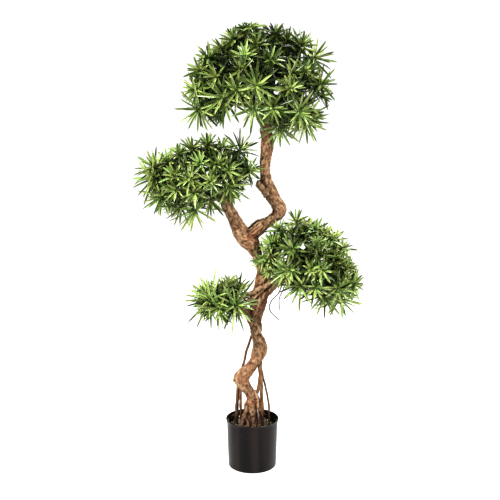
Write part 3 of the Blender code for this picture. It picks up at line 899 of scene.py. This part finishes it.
# %% Filling
FILLING_LEVEL = 0.145
FILLING_RINGS = 30
FILLING_SEGMENTS = 110
FILLING_ROUGHNESS = 0.0035
ROUGHNESS_SCALE = 85.0
MOUND_HEIGHT = 0.013
MOUND_RADIUS = 0.040
SEAT_GAP = 0.0003


def filling_radius(height):
    """How far the filling reaches inside the pot."""
    return pot_radius(height) - POT_WALL - 2 * SEAT_GAP


def filling_height(x, y):
    """The surface of the filling: rough, with a low mound round the foot of the trunk."""
    rough = noise.fractal(Vector((x, y, 0.3)) * ROUGHNESS_SCALE, 0.8, 2.2, 4)
    away = math.hypot(x - FOOT_MIDDLE[0], y - FOOT_MIDDLE[1]) / MOUND_RADIUS
    mound = MOUND_HEIGHT * math.exp(-(away**2))
    return FILLING_LEVEL + mound + FILLING_ROUGHNESS * (max(-1.0, min(1.0, rough)) - 1)


fill_radius = filling_radius(FILLING_LEVEL)
low = POT_FLOOR + SEAT_GAP
fill_profile = [(0.0, low), (filling_radius(low), low)]
fill_profile += [(fill_radius * i / FILLING_RINGS, None) for i in range(FILLING_RINGS, -1, -1)]
soil = turned(fill_profile, FILLING_SEGMENTS, filling_height).make("filling")

# %% Filling finish
SOIL_BLACK = (0.040, 0.036, 0.024)
SOIL_BROWN = (0.190, 0.150, 0.095)
SOIL_GREEN = (0.190, 0.220, 0.140)
CLOD_SCALE = 190.0
MOSS_SCALE = 40.0

soil_dark = Finish("soil", Roughness=0.95, Specular_IOR_Level=0.2)
place = soil_dark.coordinates()
clod = soil_dark.noise(place, CLOD_SCALE, 4.0)
soil_colour = soil_dark.ramp(clod, (0.35, SOIL_BLACK), (0.72, SOIL_BROWN))
mossy = soil_dark.spread(soil_dark.noise(place, MOSS_SCALE), 0.52, 0.66, 0.0, 0.5)
soil_dark.surface(Base_Color=soil_dark.blend(mossy, soil_colour, SOIL_GREEN))
soil_dark.bump(clod, 0.7, 0.002)
dress(soil, soil_dark, "soil", "pot_filling")

# %% Crumbs and grit
CRUMBS = 620
WALL_CRUMBS = 320
CLING_HEIGHT = 0.016
CRUMB_REACH = 0.965
CRUMB_RADIUS = (0.0012, 0.0034)
CRUMB_WIDE = (0.6, 1.3)
CRUMB_FLAT = (0.4, 0.9)
CRUMB_DENTS = (0.75, 1.1)
CRUMB_SHARES = (5, 3, 2)
CRUMB_COLOURS = {
    "dark_crumbs": (0.060, 0.050, 0.032),
    "brown_crumbs": (0.210, 0.165, 0.100),
    "grey_grit": (0.560, 0.590, 0.470),
}
crumb_shells = {name: Shell() for name in CRUMB_COLOURS}
fill_draw = random.Random(19)
ball = bmesh.new()
bmesh.ops.create_icosphere(ball, subdivisions=1, radius=1.0)
ball_points = [vert.co.copy() for vert in ball.verts]
ball_faces = [[vert.index for vert in face.verts] for face in ball.faces]
ball.free()
for i in range(CRUMBS + WALL_CRUMBS):
    turn = fill_draw.uniform(0, math.tau)
    size = fill_draw.uniform(*CRUMB_RADIUS)
    if i < CRUMBS:
        centre = around(fill_radius * CRUMB_REACH * math.sqrt(fill_draw.random()), turn, 0.0)
        centre.z = filling_height(centre.x, centre.y) + size * 0.25
    else:
        height = FILLING_LEVEL + CLING_HEIGHT * fill_draw.random() ** 1.5
        centre = around(pot_radius(height) - POT_WALL - size * 0.7, turn, height)
    turned_by = Matrix.Rotation(fill_draw.uniform(0, math.tau), 3, Vector((1, fill_draw.random(), 1)))
    squash = Vector([fill_draw.uniform(*span) for span in (CRUMB_WIDE, CRUMB_WIDE, CRUMB_FLAT)])
    name = fill_draw.choices(list(CRUMB_COLOURS), CRUMB_SHARES)[0]
    squashed = [turned_by @ (point * squash) for point in ball_points]
    dented = [centre + point * size * fill_draw.uniform(*CRUMB_DENTS) for point in squashed]
    crumb_shells[name].add(dented, ball_faces)
for name, colour in CRUMB_COLOURS.items():
    crumb_finish = Finish(name, Roughness=0.9, Specular_IOR_Level=0.25)
    shade = crumb_finish.mottle(400.0, 2.0, [c * 0.45 for c in colour], colour)
    crumb_finish.bump(shade, 0.5, 0.0008)
    dress(crumb_shells[name].make(name), crumb_finish, "soil", "pot_filling")

# %% [markdown]
# The foliage is moulded plastic, pushed onto wires: stems leave each bough's tip, twigs leave the
# stems, and each twig ends in a whorl of strap leaves. A particle system could scatter leaves over
# the limbs, but then nothing would carry them, and an export would lose them. So the rule that grew
# the solids is written again with more twigs: places on a dome, a twig to each, a whorl on each twig.

# %% The four pads
Pad = collections.namedtuple(
    "Pad", "bough centre radii rise drop floor lowest slope tone top_tone whorls inner_whorls stems nodes"
)
# A pad's tone and its darkening towards its top are painted shade: higher pads and pad tops are darker
PADS = {
    "crown": Pad(
        bough="top_bough", centre=Vector((0.032, 0.0, 1.262)), radii=(0.204, 0.192),
        rise=0.198, drop=0.105, floor=-0.70, lowest=1.150, slope=-0.10,
        tone=0.0, top_tone=0.9, whorls=104, inner_whorls=46,
        stems=[(-1.0, -0.25, 0.1), (1.0, -0.1, 0.05), (0.05, -1.0, 0.15), (-0.05, 1.0, 0.15), (0, 0, 1)],
        nodes=["crown_left", "crown_right", "crown_front", "crown_back", "crown_top"],
    ),
    "left_pad": Pad(
        bough="left_bough", centre=Vector((-0.174, -0.016, 1.008)), radii=(0.150, 0.132),
        rise=0.086, drop=0.090, floor=-0.80, lowest=0.885, slope=0.16,
        tone=-0.35, top_tone=0.3, whorls=62, inner_whorls=26,
        stems=[(-1.0, 0.0, 0.2), (0.0, -1.0, 0.6), (0.0, 1.0, 0.6)],
        nodes=["left_pad_outer", "left_pad_front", "left_pad_back"],
    ),
    "right_pad": Pad(
        bough="right_bough", centre=Vector((0.186, -0.024, 0.716)), radii=(0.135, 0.122),
        rise=0.098, drop=0.106, floor=-0.80, lowest=0.575, slope=-0.34,
        tone=-0.60, top_tone=0.3, whorls=58, inner_whorls=26,
        stems=[(1.0, 0.0, -0.1), (0.0, -1.0, 0.6), (0.0, 1.0, 0.6)],
        nodes=["right_pad_outer", "right_pad_front", "right_pad_back"],
    ),
    "low_pad": Pad(
        bough="low_bough", centre=Vector((-0.100, -0.028, 0.586)), radii=(0.070, 0.066),
        rise=0.046, drop=0.038, floor=-0.88, lowest=0.500, slope=-0.05,
        tone=-0.70, top_tone=0.3, whorls=17, inner_whorls=6,
        stems=[(-0.3, -1.0, 0.1), (-0.3, 1.0, 0.1)],
        nodes=["low_pad_front", "low_pad_back"],
    ),
}

# %% [markdown]
# Seen from its best side the tree shows some eighty whorls as stars, and the eye knows it by them. So
# the hearts of those stars are given as pixels of the photograph with a share of a full leaf's
# length, and each is set where its sight line meets the dome. The rest of the dome is filled by the
# rule, a little deeper at the front, and it leaves open the gaps where the sky shows through.

# %% Whorls that face the camera
FACING = {
    "crown": [
        (198, 110, 1.08), (222, 98, 1.05), (216, 76, 0.90), (199, 70, 0.75), (195, 90, 0.75),
        (208, 58, 0.75), (222, 48, 0.70), (234, 39, 0.70), (247, 31, 0.75), (241, 69, 0.70),
        (244, 56, 0.65), (256, 86, 1.05), (253, 109, 1.00), (256, 44, 0.75), (271, 59, 0.75),
        (251, 26, 0.70), (275, 33, 0.70), (287, 42, 0.80), (302, 45, 0.80), (292, 73, 0.70),
        (290, 88, 0.70), (315, 57, 0.95), (322, 84, 0.90), (300, 112, 0.95), (306, 122, 1.10),
        (280, 128, 1.00), (305, 70, 0.70), (273, 108, 0.80), (236, 90, 0.90), (204, 86, 0.80),
    ],
    "left_pad": [
        (153, 177, 1.10), (154, 167, 1.00), (161, 197, 1.05), (168, 161, 0.75), (179, 154, 0.70),
        (192, 148, 0.70), (208, 144, 0.70), (222, 148, 0.70), (241, 149, 1.00), (250, 170, 0.70),
        (189, 178, 0.70), (174, 175, 0.65), (176, 190, 0.70), (210, 200, 1.00), (229, 187, 1.05),
        (228, 170, 0.75), (210, 182, 0.70), (181, 208, 1.00), (195, 211, 1.10), (200, 163, 0.65),
        (194, 193, 0.75), (216, 165, 0.65),
    ],
    "right_pad": [
        (270, 257, 0.90), (292, 249, 0.70), (279, 229, 0.65), (296, 221, 0.70), (306, 228, 0.65),
        (316, 229, 0.65), (325, 234, 0.65), (334, 239, 0.70), (342, 248, 0.65), (336, 256, 0.70),
        (311, 269, 0.60), (300, 286, 1.10), (325, 297, 1.05), (338, 289, 1.00), (354, 284, 0.80),
        (346, 268, 0.75), (318, 243, 0.60), (271, 243, 0.65), (290, 270, 0.75), (322, 270, 0.65),
        (341, 300, 1.00), (263, 261, 0.75), (315, 288, 0.80), (284, 272, 0.85), (270, 270, 0.60),
    ],
    "low_pad": [
        (210, 299, 1.25), (236, 305, 1.28), (239, 289, 0.85), (225, 288, 0.75), (204, 291, 0.65),
        (219, 309, 0.95), (230, 284, 0.65),
    ],
}
# Gaps in the foliage: a pixel, and how many pixels round it stay open
SKY_GAPS = [
    (240, 120, 15), (258, 122, 9), (316, 104, 6), (231, 80, 3), (237, 97, 3), (276, 91, 4),
    (277, 82, 3), (301, 56, 3), (284, 57, 2), (306, 94, 3), (294, 132, 4), (207, 168, 6),
    (197, 181, 3), (222, 183, 4), (186, 197, 3), (208, 214, 5), (190, 214, 4), (275, 270, 5),
    (284, 258, 4), (303, 246, 4), (318, 286, 6), (322, 260, 3), (217, 313, 4), (223, 316, 3),
]
SIGHT_STEP = 0.004
SIGHT_REACH = (2.2, 3.0)
FRONT_BIAS = 1.5
FACING_PULL = 0.50
print("facing whorls:", {name: len(stars) for name, stars in FACING.items()})

# %% Where a sight line meets a dome


def in_dome(pad, place):
    """A place's offsets from a pad's centre, without the slope, each with the dome's own size."""
    x, y, z = place - pad.centre
    z -= pad.slope * x
    return zip((x, y, z), (*pad.radii, pad.rise if z > 0 else pad.drop))


def dome_share(pad, place):
    """How far out a place is, where 1 is on the pad's dome."""
    return math.hypot(*(offset / size for offset, size in in_dome(pad, place)))


def way_out(pad, place):
    """The way out of the dome at a place."""
    return Vector([offset / size**2 for offset, size in in_dome(pad, place)]).normalized()


def facing_place(pad, u, v):
    """Where a pixel's sight line first meets a pad's dome, or passes nearest to it."""
    reaches = np.arange(*SIGHT_REACH, SIGHT_STEP).tolist()
    spots = [CAMERA_PLACE + sight_line(u, v) * reach for reach in reaches]
    inside = [spot for spot in spots if dome_share(pad, spot) <= 1]
    if inside:
        return inside[0]
    return min(spots, key=lambda spot: dome_share(pad, spot) + FRONT_BIAS * spot.y)


# %% The rule's numbers
GOLDEN_ANGLE = math.pi * (3 - math.sqrt(5))
TURN_JITTER = 0.25
OUTER_SHELL = (0.88, 1.0)
INNER_SHELL = (0.40, 0.72)
FRONT_DEPTH = 0.86
FACES_FRONT = 0.25
GAP_MARGIN = 2.0
CROWDED = 0.028
RULE_SIZE = (0.75, 1.00)
# Painted shade for inner whorls and for whorls set back between the facing stars; facing whorls take a
# lighter range, as painted light
INNER_PAINTED_SHADE = 2.2
FRONT_PAINTED_SHADE = 1.5
TONES = (-0.6, 0.6)
FACING_TONES = (-1.0, 0.4)
Whorl = collections.namedtuple("Whorl", "place way size tone facing")
grow_draw = random.Random(11)

# %% Places and tones of the whorls


def in_gap(place, margin=0.0):
    """Whether a place shows in a gap, or within a margin of pixels round it."""
    u, v = seen_at(place)
    return any(math.hypot(u - x, v - y) < radius + margin for x, y, radius in SKY_GAPS)


def rule_place(pad, level, turn, depth):
    """A place in a pad's dome at a level from -1 to 1, a turn about its axis and a share of its depth."""
    spread = math.sqrt(1 - level**2)
    height = pad.rise if level > 0 else pad.drop
    x = pad.radii[0] * spread * math.cos(turn) * depth
    y = pad.radii[1] * spread * math.sin(turn) * depth
    return pad.centre + Vector((x, y, height * level * depth + pad.slope * x))


def pad_tone(pad, place, spread):
    """How dark a whorl is: a random tone and painted shade, heavier on the higher pads and towards each
    pad's top.
    """
    height = (place.z - pad.centre.z) / pad.rise
    return pad.tone + pad.top_tone * height + grow_draw.uniform(*spread)


def pad_whorls(name, pad):
    """All whorls of a pad: the facing ones, then those of the rule where there is room."""
    made = []
    for u, v, size in FACING[name]:
        place = facing_place(pad, u, v)
        to_camera = (CAMERA_PLACE - place).normalized()
        way = way_out(pad, place).lerp(to_camera, FACING_PULL).normalized()
        made.append(Whorl(place, way, size, pad_tone(pad, place, FACING_TONES), True))
    for count, shell, inner in ((pad.whorls, OUTER_SHELL, False), (pad.inner_whorls, INNER_SHELL, True)):
        first_turn = grow_draw.uniform(0, math.tau)
        for i in range(count):
            level = 1 - (i + 0.5) / count * (1 - pad.floor)
            turn = first_turn + i * GOLDEN_ANGLE + grow_draw.uniform(-TURN_JITTER, TURN_JITTER)
            place = rule_place(pad, level, turn, grow_draw.uniform(*shell))
            way = way_out(pad, place)
            size, tone = grow_draw.uniform(*RULE_SIZE), pad_tone(pad, place, TONES)
            front = way.dot((CAMERA_PLACE - place).normalized()) > FACES_FRONT
            if front and not inner:
                place = pad.centre.lerp(place, FRONT_DEPTH)
            if in_gap(place, GAP_MARGIN) or any((place - w.place).length < CROWDED for w in made):
                continue
            # Painted shade: inner whorls and those set back at the front are darker
            tone += INNER_PAINTED_SHADE if inner else FRONT_PAINTED_SHADE if front else 0.0
            made.append(Whorl(place, way, size, tone, False))
    return made


whorls = {name: pad_whorls(name, pad) for name, pad in PADS.items()}
print("whorls:", {name: len(made) for name, made in whorls.items()})

# %% Stems and twigs
STEM_CONE = 0.6
STEM_SPARE_REACH = 0.08
STEM_SINK = 0.004
STEM_RING = 0.45
STEM_REACH = 0.50
STEM_RADII = (0.0042, 0.0024)
STEM_PARTS = 8
STEM_SIDES = 10
TWIG_RADII = (0.0017, 0.0013)
TWIG_PARTS = 7
TWIG_SIDES = 7
LEAVING_PULL = 0.35
ARRIVING_PULL = 0.35


def bent(start, start_way, end, end_way, radii, parts):
    """Stations of a twig that leaves along one way and arrives along another."""
    reach = (end - start).length
    first = start + start_way * reach * LEAVING_PULL
    second = end - end_way * reach * ARRIVING_PULL
    stations = []
    for i in range(parts + 1):
        t = i / parts
        s = 1 - t
        place = start * s**3 + first * 3 * s * s * t + second * 3 * s * t * t + end * t**3
        stations.append((*place, radii[0] + (radii[1] - radii[0]) * t))
    return stations


def bough_tip(name):
    """The centre of a bough's end, the way that it points, and its radius."""
    before, last = curved(BOUGH_ROUTES[name], LIMB_STEP)[-2:]
    tip = Vector(last[:3])
    return tip, (tip - Vector(before[:3])).normalized(), last[3]


def grow_pad(pad, whorls, stems, twigs):
    """Adds the stems and twigs that carry a pad's whorls."""
    tip, axis, radius = bough_tip(pad.bough)
    forks = []
    for way in (Vector(way).normalized() for way in pad.stems):
        mine = [whorl.place for whorl in whorls if (whorl.place - tip).normalized().dot(way) > STEM_CONE]
        middle = sum(mine, Vector()) / len(mine) if mine else tip + way * STEM_SPARE_REACH
        aside = way - axis * way.dot(axis)
        foot = tip - axis * STEM_SINK + aside * radius * STEM_RING
        hub = foot.lerp(middle, STEM_REACH)
        stem = bent(foot, axis, hub, (hub - foot).normalized(), STEM_RADII, STEM_PARTS)
        add_tube(stems, stem, STEM_SIDES)
        forks += [(Vector(s[:3]), (hub - foot).normalized()) for s in stem[2:]]
    for place, outward, *_ in sorted(whorls, key=lambda whorl: (whorl.place - tip).length):
        nearer = [fork for fork in forks if (fork[0] - tip).length < (place - tip).length]
        fork, fork_way = min(nearer or forks, key=lambda f: (place - f[0]).length)
        start_way = (fork_way + (place - fork).normalized()).normalized()
        twig = bent(fork, start_way, place, outward, TWIG_RADII, TWIG_PARTS)
        add_tube(twigs, twig, TWIG_SIDES)
        forks += [(Vector(s[:3]), outward) for s in twig[2:5]]


stem_shell = Shell()
twig_shell = Shell()
for name, pad in PADS.items():
    grow_pad(pad, whorls[name], stem_shell, twig_shell)
print("stems:", len(stem_shell.faces), "faces, twigs:", len(twig_shell.faces), "faces")

# %% [markdown]
# A leaf is a strap, some 4 to 9 cm long and about 7 mm wide, folded a little along its middle, with a
# groove above and a keel below. It narrows to a stalk and ends in a blunt point. Each leaf is a
# closed skin of six-cornered rings, curved away from its shoot, so light runs along it as on the
# real plastic. A flat card with a leaf printed on it would look like paper from the side.

# %% A leaf's outline
LEAF_STATIONS = 7
LEAF_FOLD = 0.68
LEAF_THICKNESS = 0.0011
LEAF_TIP_POWER = 5.5
LEAF_STALK = 0.50
LEAF_STALK_END = 0.22


def leaf_width(t):
    """The share of a leaf's full width at a share of its length."""
    opening = np.clip(t / LEAF_STALK_END, 0, 1)
    opening = opening * opening * (3 - 2 * opening)
    return (LEAF_STALK + (1 - LEAF_STALK) * opening) * (1 - t**LEAF_TIP_POWER) ** 0.75


LEAF_SHARES = np.linspace(0, 1, LEAF_STATIONS) ** 0.9
LEAF_WIDTHS = leaf_width(LEAF_SHARES)
# Corners of a leaf's ring: how far aside, as a share of half the width, and how many thicknesses up
RING_ASIDE = np.array([-1.0, -0.52, 0.0, 0.52, 1.0, 0.0])
RING_ABOVE = np.array([0.0, 0.55, 0.12, 0.55, 0.0, -0.65])
print("leaf widths:", LEAF_WIDTHS.round(2).tolist())

# %% A leaf's mesh


def leaf(shell, base, along, above, length, width, bend, droop, twist):
    """Adds one leaf. It leaves base along one way, and its upper side faces above."""
    along, above = np.array(along), np.array(above)
    turn = bend * LEAF_SHARES**1.3
    steps = np.cos(turn)[:, None] * along - np.sin(turn)[:, None] * above
    run = length * np.diff(LEAF_SHARES, prepend=0.0)[:, None]
    middle = np.array(base) + np.cumsum(steps * run, axis=0)
    middle[:, 2] -= droop * length * LEAF_SHARES**2
    up = np.cos(turn)[:, None] * above + np.sin(turn)[:, None] * along
    side = np.cross(steps, up)
    roll = (twist * LEAF_SHARES)[:, None]
    side, up = side * np.cos(roll) + up * np.sin(roll), up * np.cos(roll) - side * np.sin(roll)
    half = (LEAF_WIDTHS * width / 2)[:, None]
    aside = RING_ASIDE[None, :] * half
    thick = LEAF_THICKNESS * np.sqrt(np.maximum(LEAF_WIDTHS, 0.02))[:, None]
    raised = np.abs(RING_ASIDE)[None, :] * half * LEAF_FOLD + RING_ABOVE[None, :] * thick
    points = middle[:, None, :] + side[:, None, :] * aside[..., None] + up[:, None, :] * raised[..., None]
    body = points[:-1].reshape(-1, 3)
    tip = middle[-1]
    shell.add([*map(Vector, body), Vector(tip)], LEAF_FACES)


def leaf_faces():
    """The stalk's end, the strips along the leaf, and a fan to its point, all facing out."""
    ring, tip = len(RING_ASIDE), (LEAF_STATIONS - 1) * len(RING_ASIDE)
    fan = [(tip - ring + (i + 1) % ring, tip - ring + i, tip) for i in range(ring)]
    return [tuple(range(ring)), *(face[::-1] for face in strips(0, LEAF_STATIONS - 1, ring)), *fan]


LEAF_FACES = leaf_faces()

# %% [markdown]
# A whorl is the end of a shoot. Its youngest leaves stand up in the middle, short and yellow-green,
# and each older one is longer, darker and further out, a golden angle on from the last, so none
# covers the one below. Colour is dealt out leaf by leaf as one of five plain greens, because a
# pattern painted over many small leaves would not survive an export. Whole whorls are painted darker
# as shade deep in the crown, between the stars and towards the top of the tree and of each pad.

# %% A whorl's numbers
LEAVES_IN_WHORL = (25, 32)
SHOOT_LENGTH = 0.024
YOUNG_TILT = math.radians(18)
OLD_TILT = math.radians(108)
YOUNG_LENGTH = (0.044, 0.056)
OLD_LENGTH = (0.072, 0.094)
LEAF_WIDTH = (0.0062, 0.0084)
LEAF_BEND = (0.00, 0.32)
LEAF_DROOP = (0.00, 0.08)
LEAF_TWIST = 0.5
TILT_JITTER = 0.18
LEAF_TURN_JITTER = 0.2
OUT_OF_SHOOT = 0.001
SHORTEST_LEAF = 0.02
AGE_SHADES = 2.7
LEAF_SHADES = (-1.0, 1.6)
BOX_MARGIN = 0.002
LIMB_MARGIN = 0.001
GREENS = ["young_leaves", "fresh_leaves", "green_leaves", "deep_and_shaded_leaves", "old_and_shaded_leaves"]
leaf_shells = {name: Shell() for name in GREENS}
leaf_draw = random.Random(23)

MOST_LEAF = OLD_LENGTH[1] + SHOOT_LENGTH + 0.03
wood_spots = [(Vector(s[:3]), s[3]) for stations in limb_stations(2 * LIMB_STEP) for s in stations]
print("places on the limbs:", len(wood_spots))

# %% Room for a leaf


def hits_wood(base, tip, wood_near):
    """Whether a leaf would run into one of the limbs near it."""
    for spot, radius in wood_near:
        share = min(1.0, max(0.0, intersect_point_line(spot, base, tip)[1]))
        if (base.lerp(tip, share) - spot).length < radius + LIMB_MARGIN:
            return True
    return False


def room_in_box(base, along, length):
    """The length that keeps a leaf inside the box of the solids."""
    for axis in range(3):
        wall = CAD_BOX[1][axis] - BOX_MARGIN if along[axis] > 0 else CAD_BOX[0][axis] + BOX_MARGIN
        if abs(along[axis]) > 0.05:
            length = min(length, max(0.0, (wall - base[axis]) / along[axis]))
    return length


# %% Grow all leaves


def grow_whorl(whorl, lowest):
    """Adds the leaves of one whorl, each to the piece of its own green."""
    way = whorl.way
    count = leaf_draw.randint(*LEAVES_IN_WHORL)
    first_turn = leaf_draw.uniform(0, math.tau)
    across = way.orthogonal().normalized()
    other = way.cross(across)
    wood_near = [(spot, radius) for spot, radius in wood_spots if (spot - whorl.place).length < MOST_LEAF]
    for i in range(count):
        age = i / (count - 1)
        tilt = YOUNG_TILT + (OLD_TILT - YOUNG_TILT) * age**0.75
        tilt += leaf_draw.uniform(-TILT_JITTER, TILT_JITTER)
        turn = first_turn + i * GOLDEN_ANGLE + leaf_draw.uniform(-LEAF_TURN_JITTER, LEAF_TURN_JITTER)
        out = spoke(across, other, turn)
        along = way * math.cos(tilt) + out * math.sin(tilt)
        above = way * math.sin(tilt) - out * math.cos(tilt)
        young, old = leaf_draw.uniform(*YOUNG_LENGTH), leaf_draw.uniform(*OLD_LENGTH)
        base = whorl.place - way * SHOOT_LENGTH * age + out * OUT_OF_SHOOT
        length = room_in_box(base, along, whorl.size * (young + (old - young) * min(1.0, age * 1.8)))
        bend = leaf_draw.uniform(*LEAF_BEND) * (0.4 + 0.6 * age)
        droop = leaf_draw.uniform(*LEAF_DROOP) * age
        twist = leaf_draw.uniform(-LEAF_TWIST, LEAF_TWIST)
        width = leaf_draw.uniform(*LEAF_WIDTH) * (0.85 + 0.15 * min(1.0, age * 2))
        # The whorl's tone brings its painted shade into the choice of green
        shade = age * AGE_SHADES + whorl.tone + leaf_draw.uniform(*LEAF_SHADES)
        green = GREENS[min(len(GREENS) - 1, max(0, round(shade)))]
        tip = base + along * length
        if length < SHORTEST_LEAF or hits_wood(base, tip, wood_near):
            continue
        in_sight = [base.lerp(tip, share) for share in (0.0, 0.25, 0.5, 0.75, 1.0)]
        if not whorl.facing and (tip.z < lowest or any(in_gap(spot) for spot in in_sight)):
            continue
        leaf(leaf_shells[green], base, along, above, length, width, bend, droop, twist)


for name, made in whorls.items():
    for whorl in made:
        grow_whorl(whorl, PADS[name].lowest)
print("leaves:", {name: len(shell.faces) // len(LEAF_FACES) for name, shell in leaf_shells.items()})

# %% [markdown]
# The leaves are soft moulded plastic with a satin gloss. Young ones are yellow-green and old ones
# almost black, and the darkest greens also paint the shade on whorls deep in the crown. Each green is
# one plain colour with slow noise in it, which makes some leaves lighter and some cooler, and the
# noise is in the gloss too, as handling marks are.

# %% Leaf finishes
# The two darkest greens are both old leaves and painted shade deep in the crown
LEAF_COLOURS = {
    "young_leaves": (0.303, 0.348, 0.122),
    "fresh_leaves": (0.160, 0.197, 0.053),
    "green_leaves": (0.065, 0.090, 0.016),
    "deep_and_shaded_leaves": (0.021, 0.034, 0.003),
    "old_and_shaded_leaves": (0.006, 0.009, 0.0006),
}
LEAF_COOL = (0.76, 0.97, 0.90)
LEAF_CLOUD_SCALE = 38.0
LEAF_COOL_SCALE = 26.0
LEAF_SHARP = math.radians(70)
masses = [node for pad in PADS.values() for node in pad.nodes]
for name, colour in LEAF_COLOURS.items():
    leaf_green = Finish(name, Roughness=0.30, Specular_IOR_Level=0.45)
    cloud = leaf_green.noise(leaf_green.coordinates(), LEAF_CLOUD_SCALE, 2.0)
    darker, lighter = ([c * share for c in colour] for share in (0.78, 1.25))
    shade = leaf_green.ramp(cloud, (0.32, darker), (0.68, lighter))
    tinge = leaf_green.noise(leaf_green.coordinates(), LEAF_COOL_SCALE)
    cool = leaf_green.spread(tinge, 0.40, 0.64)
    leaf_green.surface(
        Base_Color=leaf_green.blend(cool, shade, LEAF_COOL, "MULTIPLY"),
        Roughness=leaf_green.spread(cloud, 0.3, 0.7, 0.24, 0.38),
    )
    dress(leaf_shells[name].make(name, LEAF_SHARP), leaf_green, "foliage", *masses)

# %% Stem and twig finishes
STEM_BROWN = (0.110, 0.055, 0.028)
TWIG_BROWN = (0.075, 0.062, 0.026)
TWIG_MOTTLE_SCALE = 120.0
for shell, name, colour in ((stem_shell, "stems", STEM_BROWN), (twig_shell, "twigs", TWIG_BROWN)):
    made = Finish(name, Roughness=0.6)
    shade = made.mottle(TWIG_MOTTLE_SCALE, 3.0, [c * 0.5 for c in colour], colour)
    made.bump(shade, 0.4, 0.0006)
    dress(shell.make(name), made, "foliage", *masses)

# %% [markdown]
# The stage is a plain white floor with a glow of its own, so that it stays even and the tree throws
# only a faint shadow. It is barely brighter than white, or thin fibres and leaf tips would drown in
# it. Behind the tree is a white wall, and the room round it is dimmer. Three large soft lights, a key,
# a fill and a rim, give the leaves a bright side and leave the inside of the crown dark, and painted
# shade on its inner whorls makes it darker still.

# %% Floor
WHITE = (1.0, 1.0, 1.0, 1.0)
FLOOR_HALF = 60.0
FLOOR_WHITE = 0.25
FLOOR_GLOW = 0.95

floor_shell = Shell()
corners = ((-1, -1), (1, -1), (1, 1), (-1, 1))
floor_shell.add([Vector((x * FLOOR_HALF, y * FLOOR_HALF, -0.0005)) for x, y in corners], [(0, 1, 2, 3)])
floor = floor_shell.make("floor")
floor_white = Finish(
    "floor_white", Roughness=0.9, Specular_IOR_Level=0.1, Base_Color=(*[FLOOR_WHITE] * 3, 1.0),
    Emission_Color=WHITE, Emission_Strength=FLOOR_GLOW,
)
floor.data.materials.append(floor_white.material)
print("floor:", 2 * FLOOR_HALF, "m across")

# %% Sky
SKY_STRENGTH = 1.08
ROOM_STRENGTH = 0.50
WALL_EDGE = (0.35, 0.75)
WALL_TOP = (0.30, 0.60)


class Sky(Finish):
    """The world's light, built like a finish round its Background shader."""

    def __init__(self, name):
        world = bpy.data.worlds.new(name)
        world.use_nodes = True
        bpy.context.scene.world = world
        self.tree = world.node_tree
        self.shader = self.tree.nodes["Background"]


sky = Sky("studio")
direction = sky.node("ShaderNodeTexCoord", output="Generated")
direction_y = sky.node("ShaderNodeSeparateXYZ", None, {0: direction}, output="Y")
direction_z = sky.node("ShaderNodeSeparateXYZ", None, {0: direction}, output="Z")
wall = sky.spread(direction_y, *WALL_EDGE) * sky.spread(direction_z, *WALL_TOP, 1.0, 0.0)
sky.surface(Strength=sky.spread(wall, 0.0, 1.0, ROOM_STRENGTH, SKY_STRENGTH))
sky.shader.inputs["Color"].default_value = WHITE

# %% Lights and contrast


def soft_light(name, place, target, size, power):
    data = bpy.data.lights.new(name, "AREA")
    data.shape = "DISK"
    data.size = size
    data.energy = power
    light = bpy.data.objects.new(name, data)
    bpy.context.scene.collection.objects.link(light)
    light.location = place
    light.rotation_euler = (Vector(target) - Vector(place)).to_track_quat("-Z", "Y").to_euler()


TREE_MIDDLE = (0.0, 0.0, 0.8)
soft_light("key", (-2.4, -1.9, 2.6), TREE_MIDDLE, 1.0, 310.0)
soft_light("fill", (2.6, -1.5, 2.2), TREE_MIDDLE, 1.2, 165.0)
soft_light("rim", (0.9, 2.6, 3.0), TREE_MIDDLE, 1.2, 170.0)

CONTRAST = 0.75
bpy.context.scene.view_settings.view_transform = "Standard"
bpy.context.scene.view_settings.gamma = CONTRAST
print("lights:", len(bpy.data.lights))
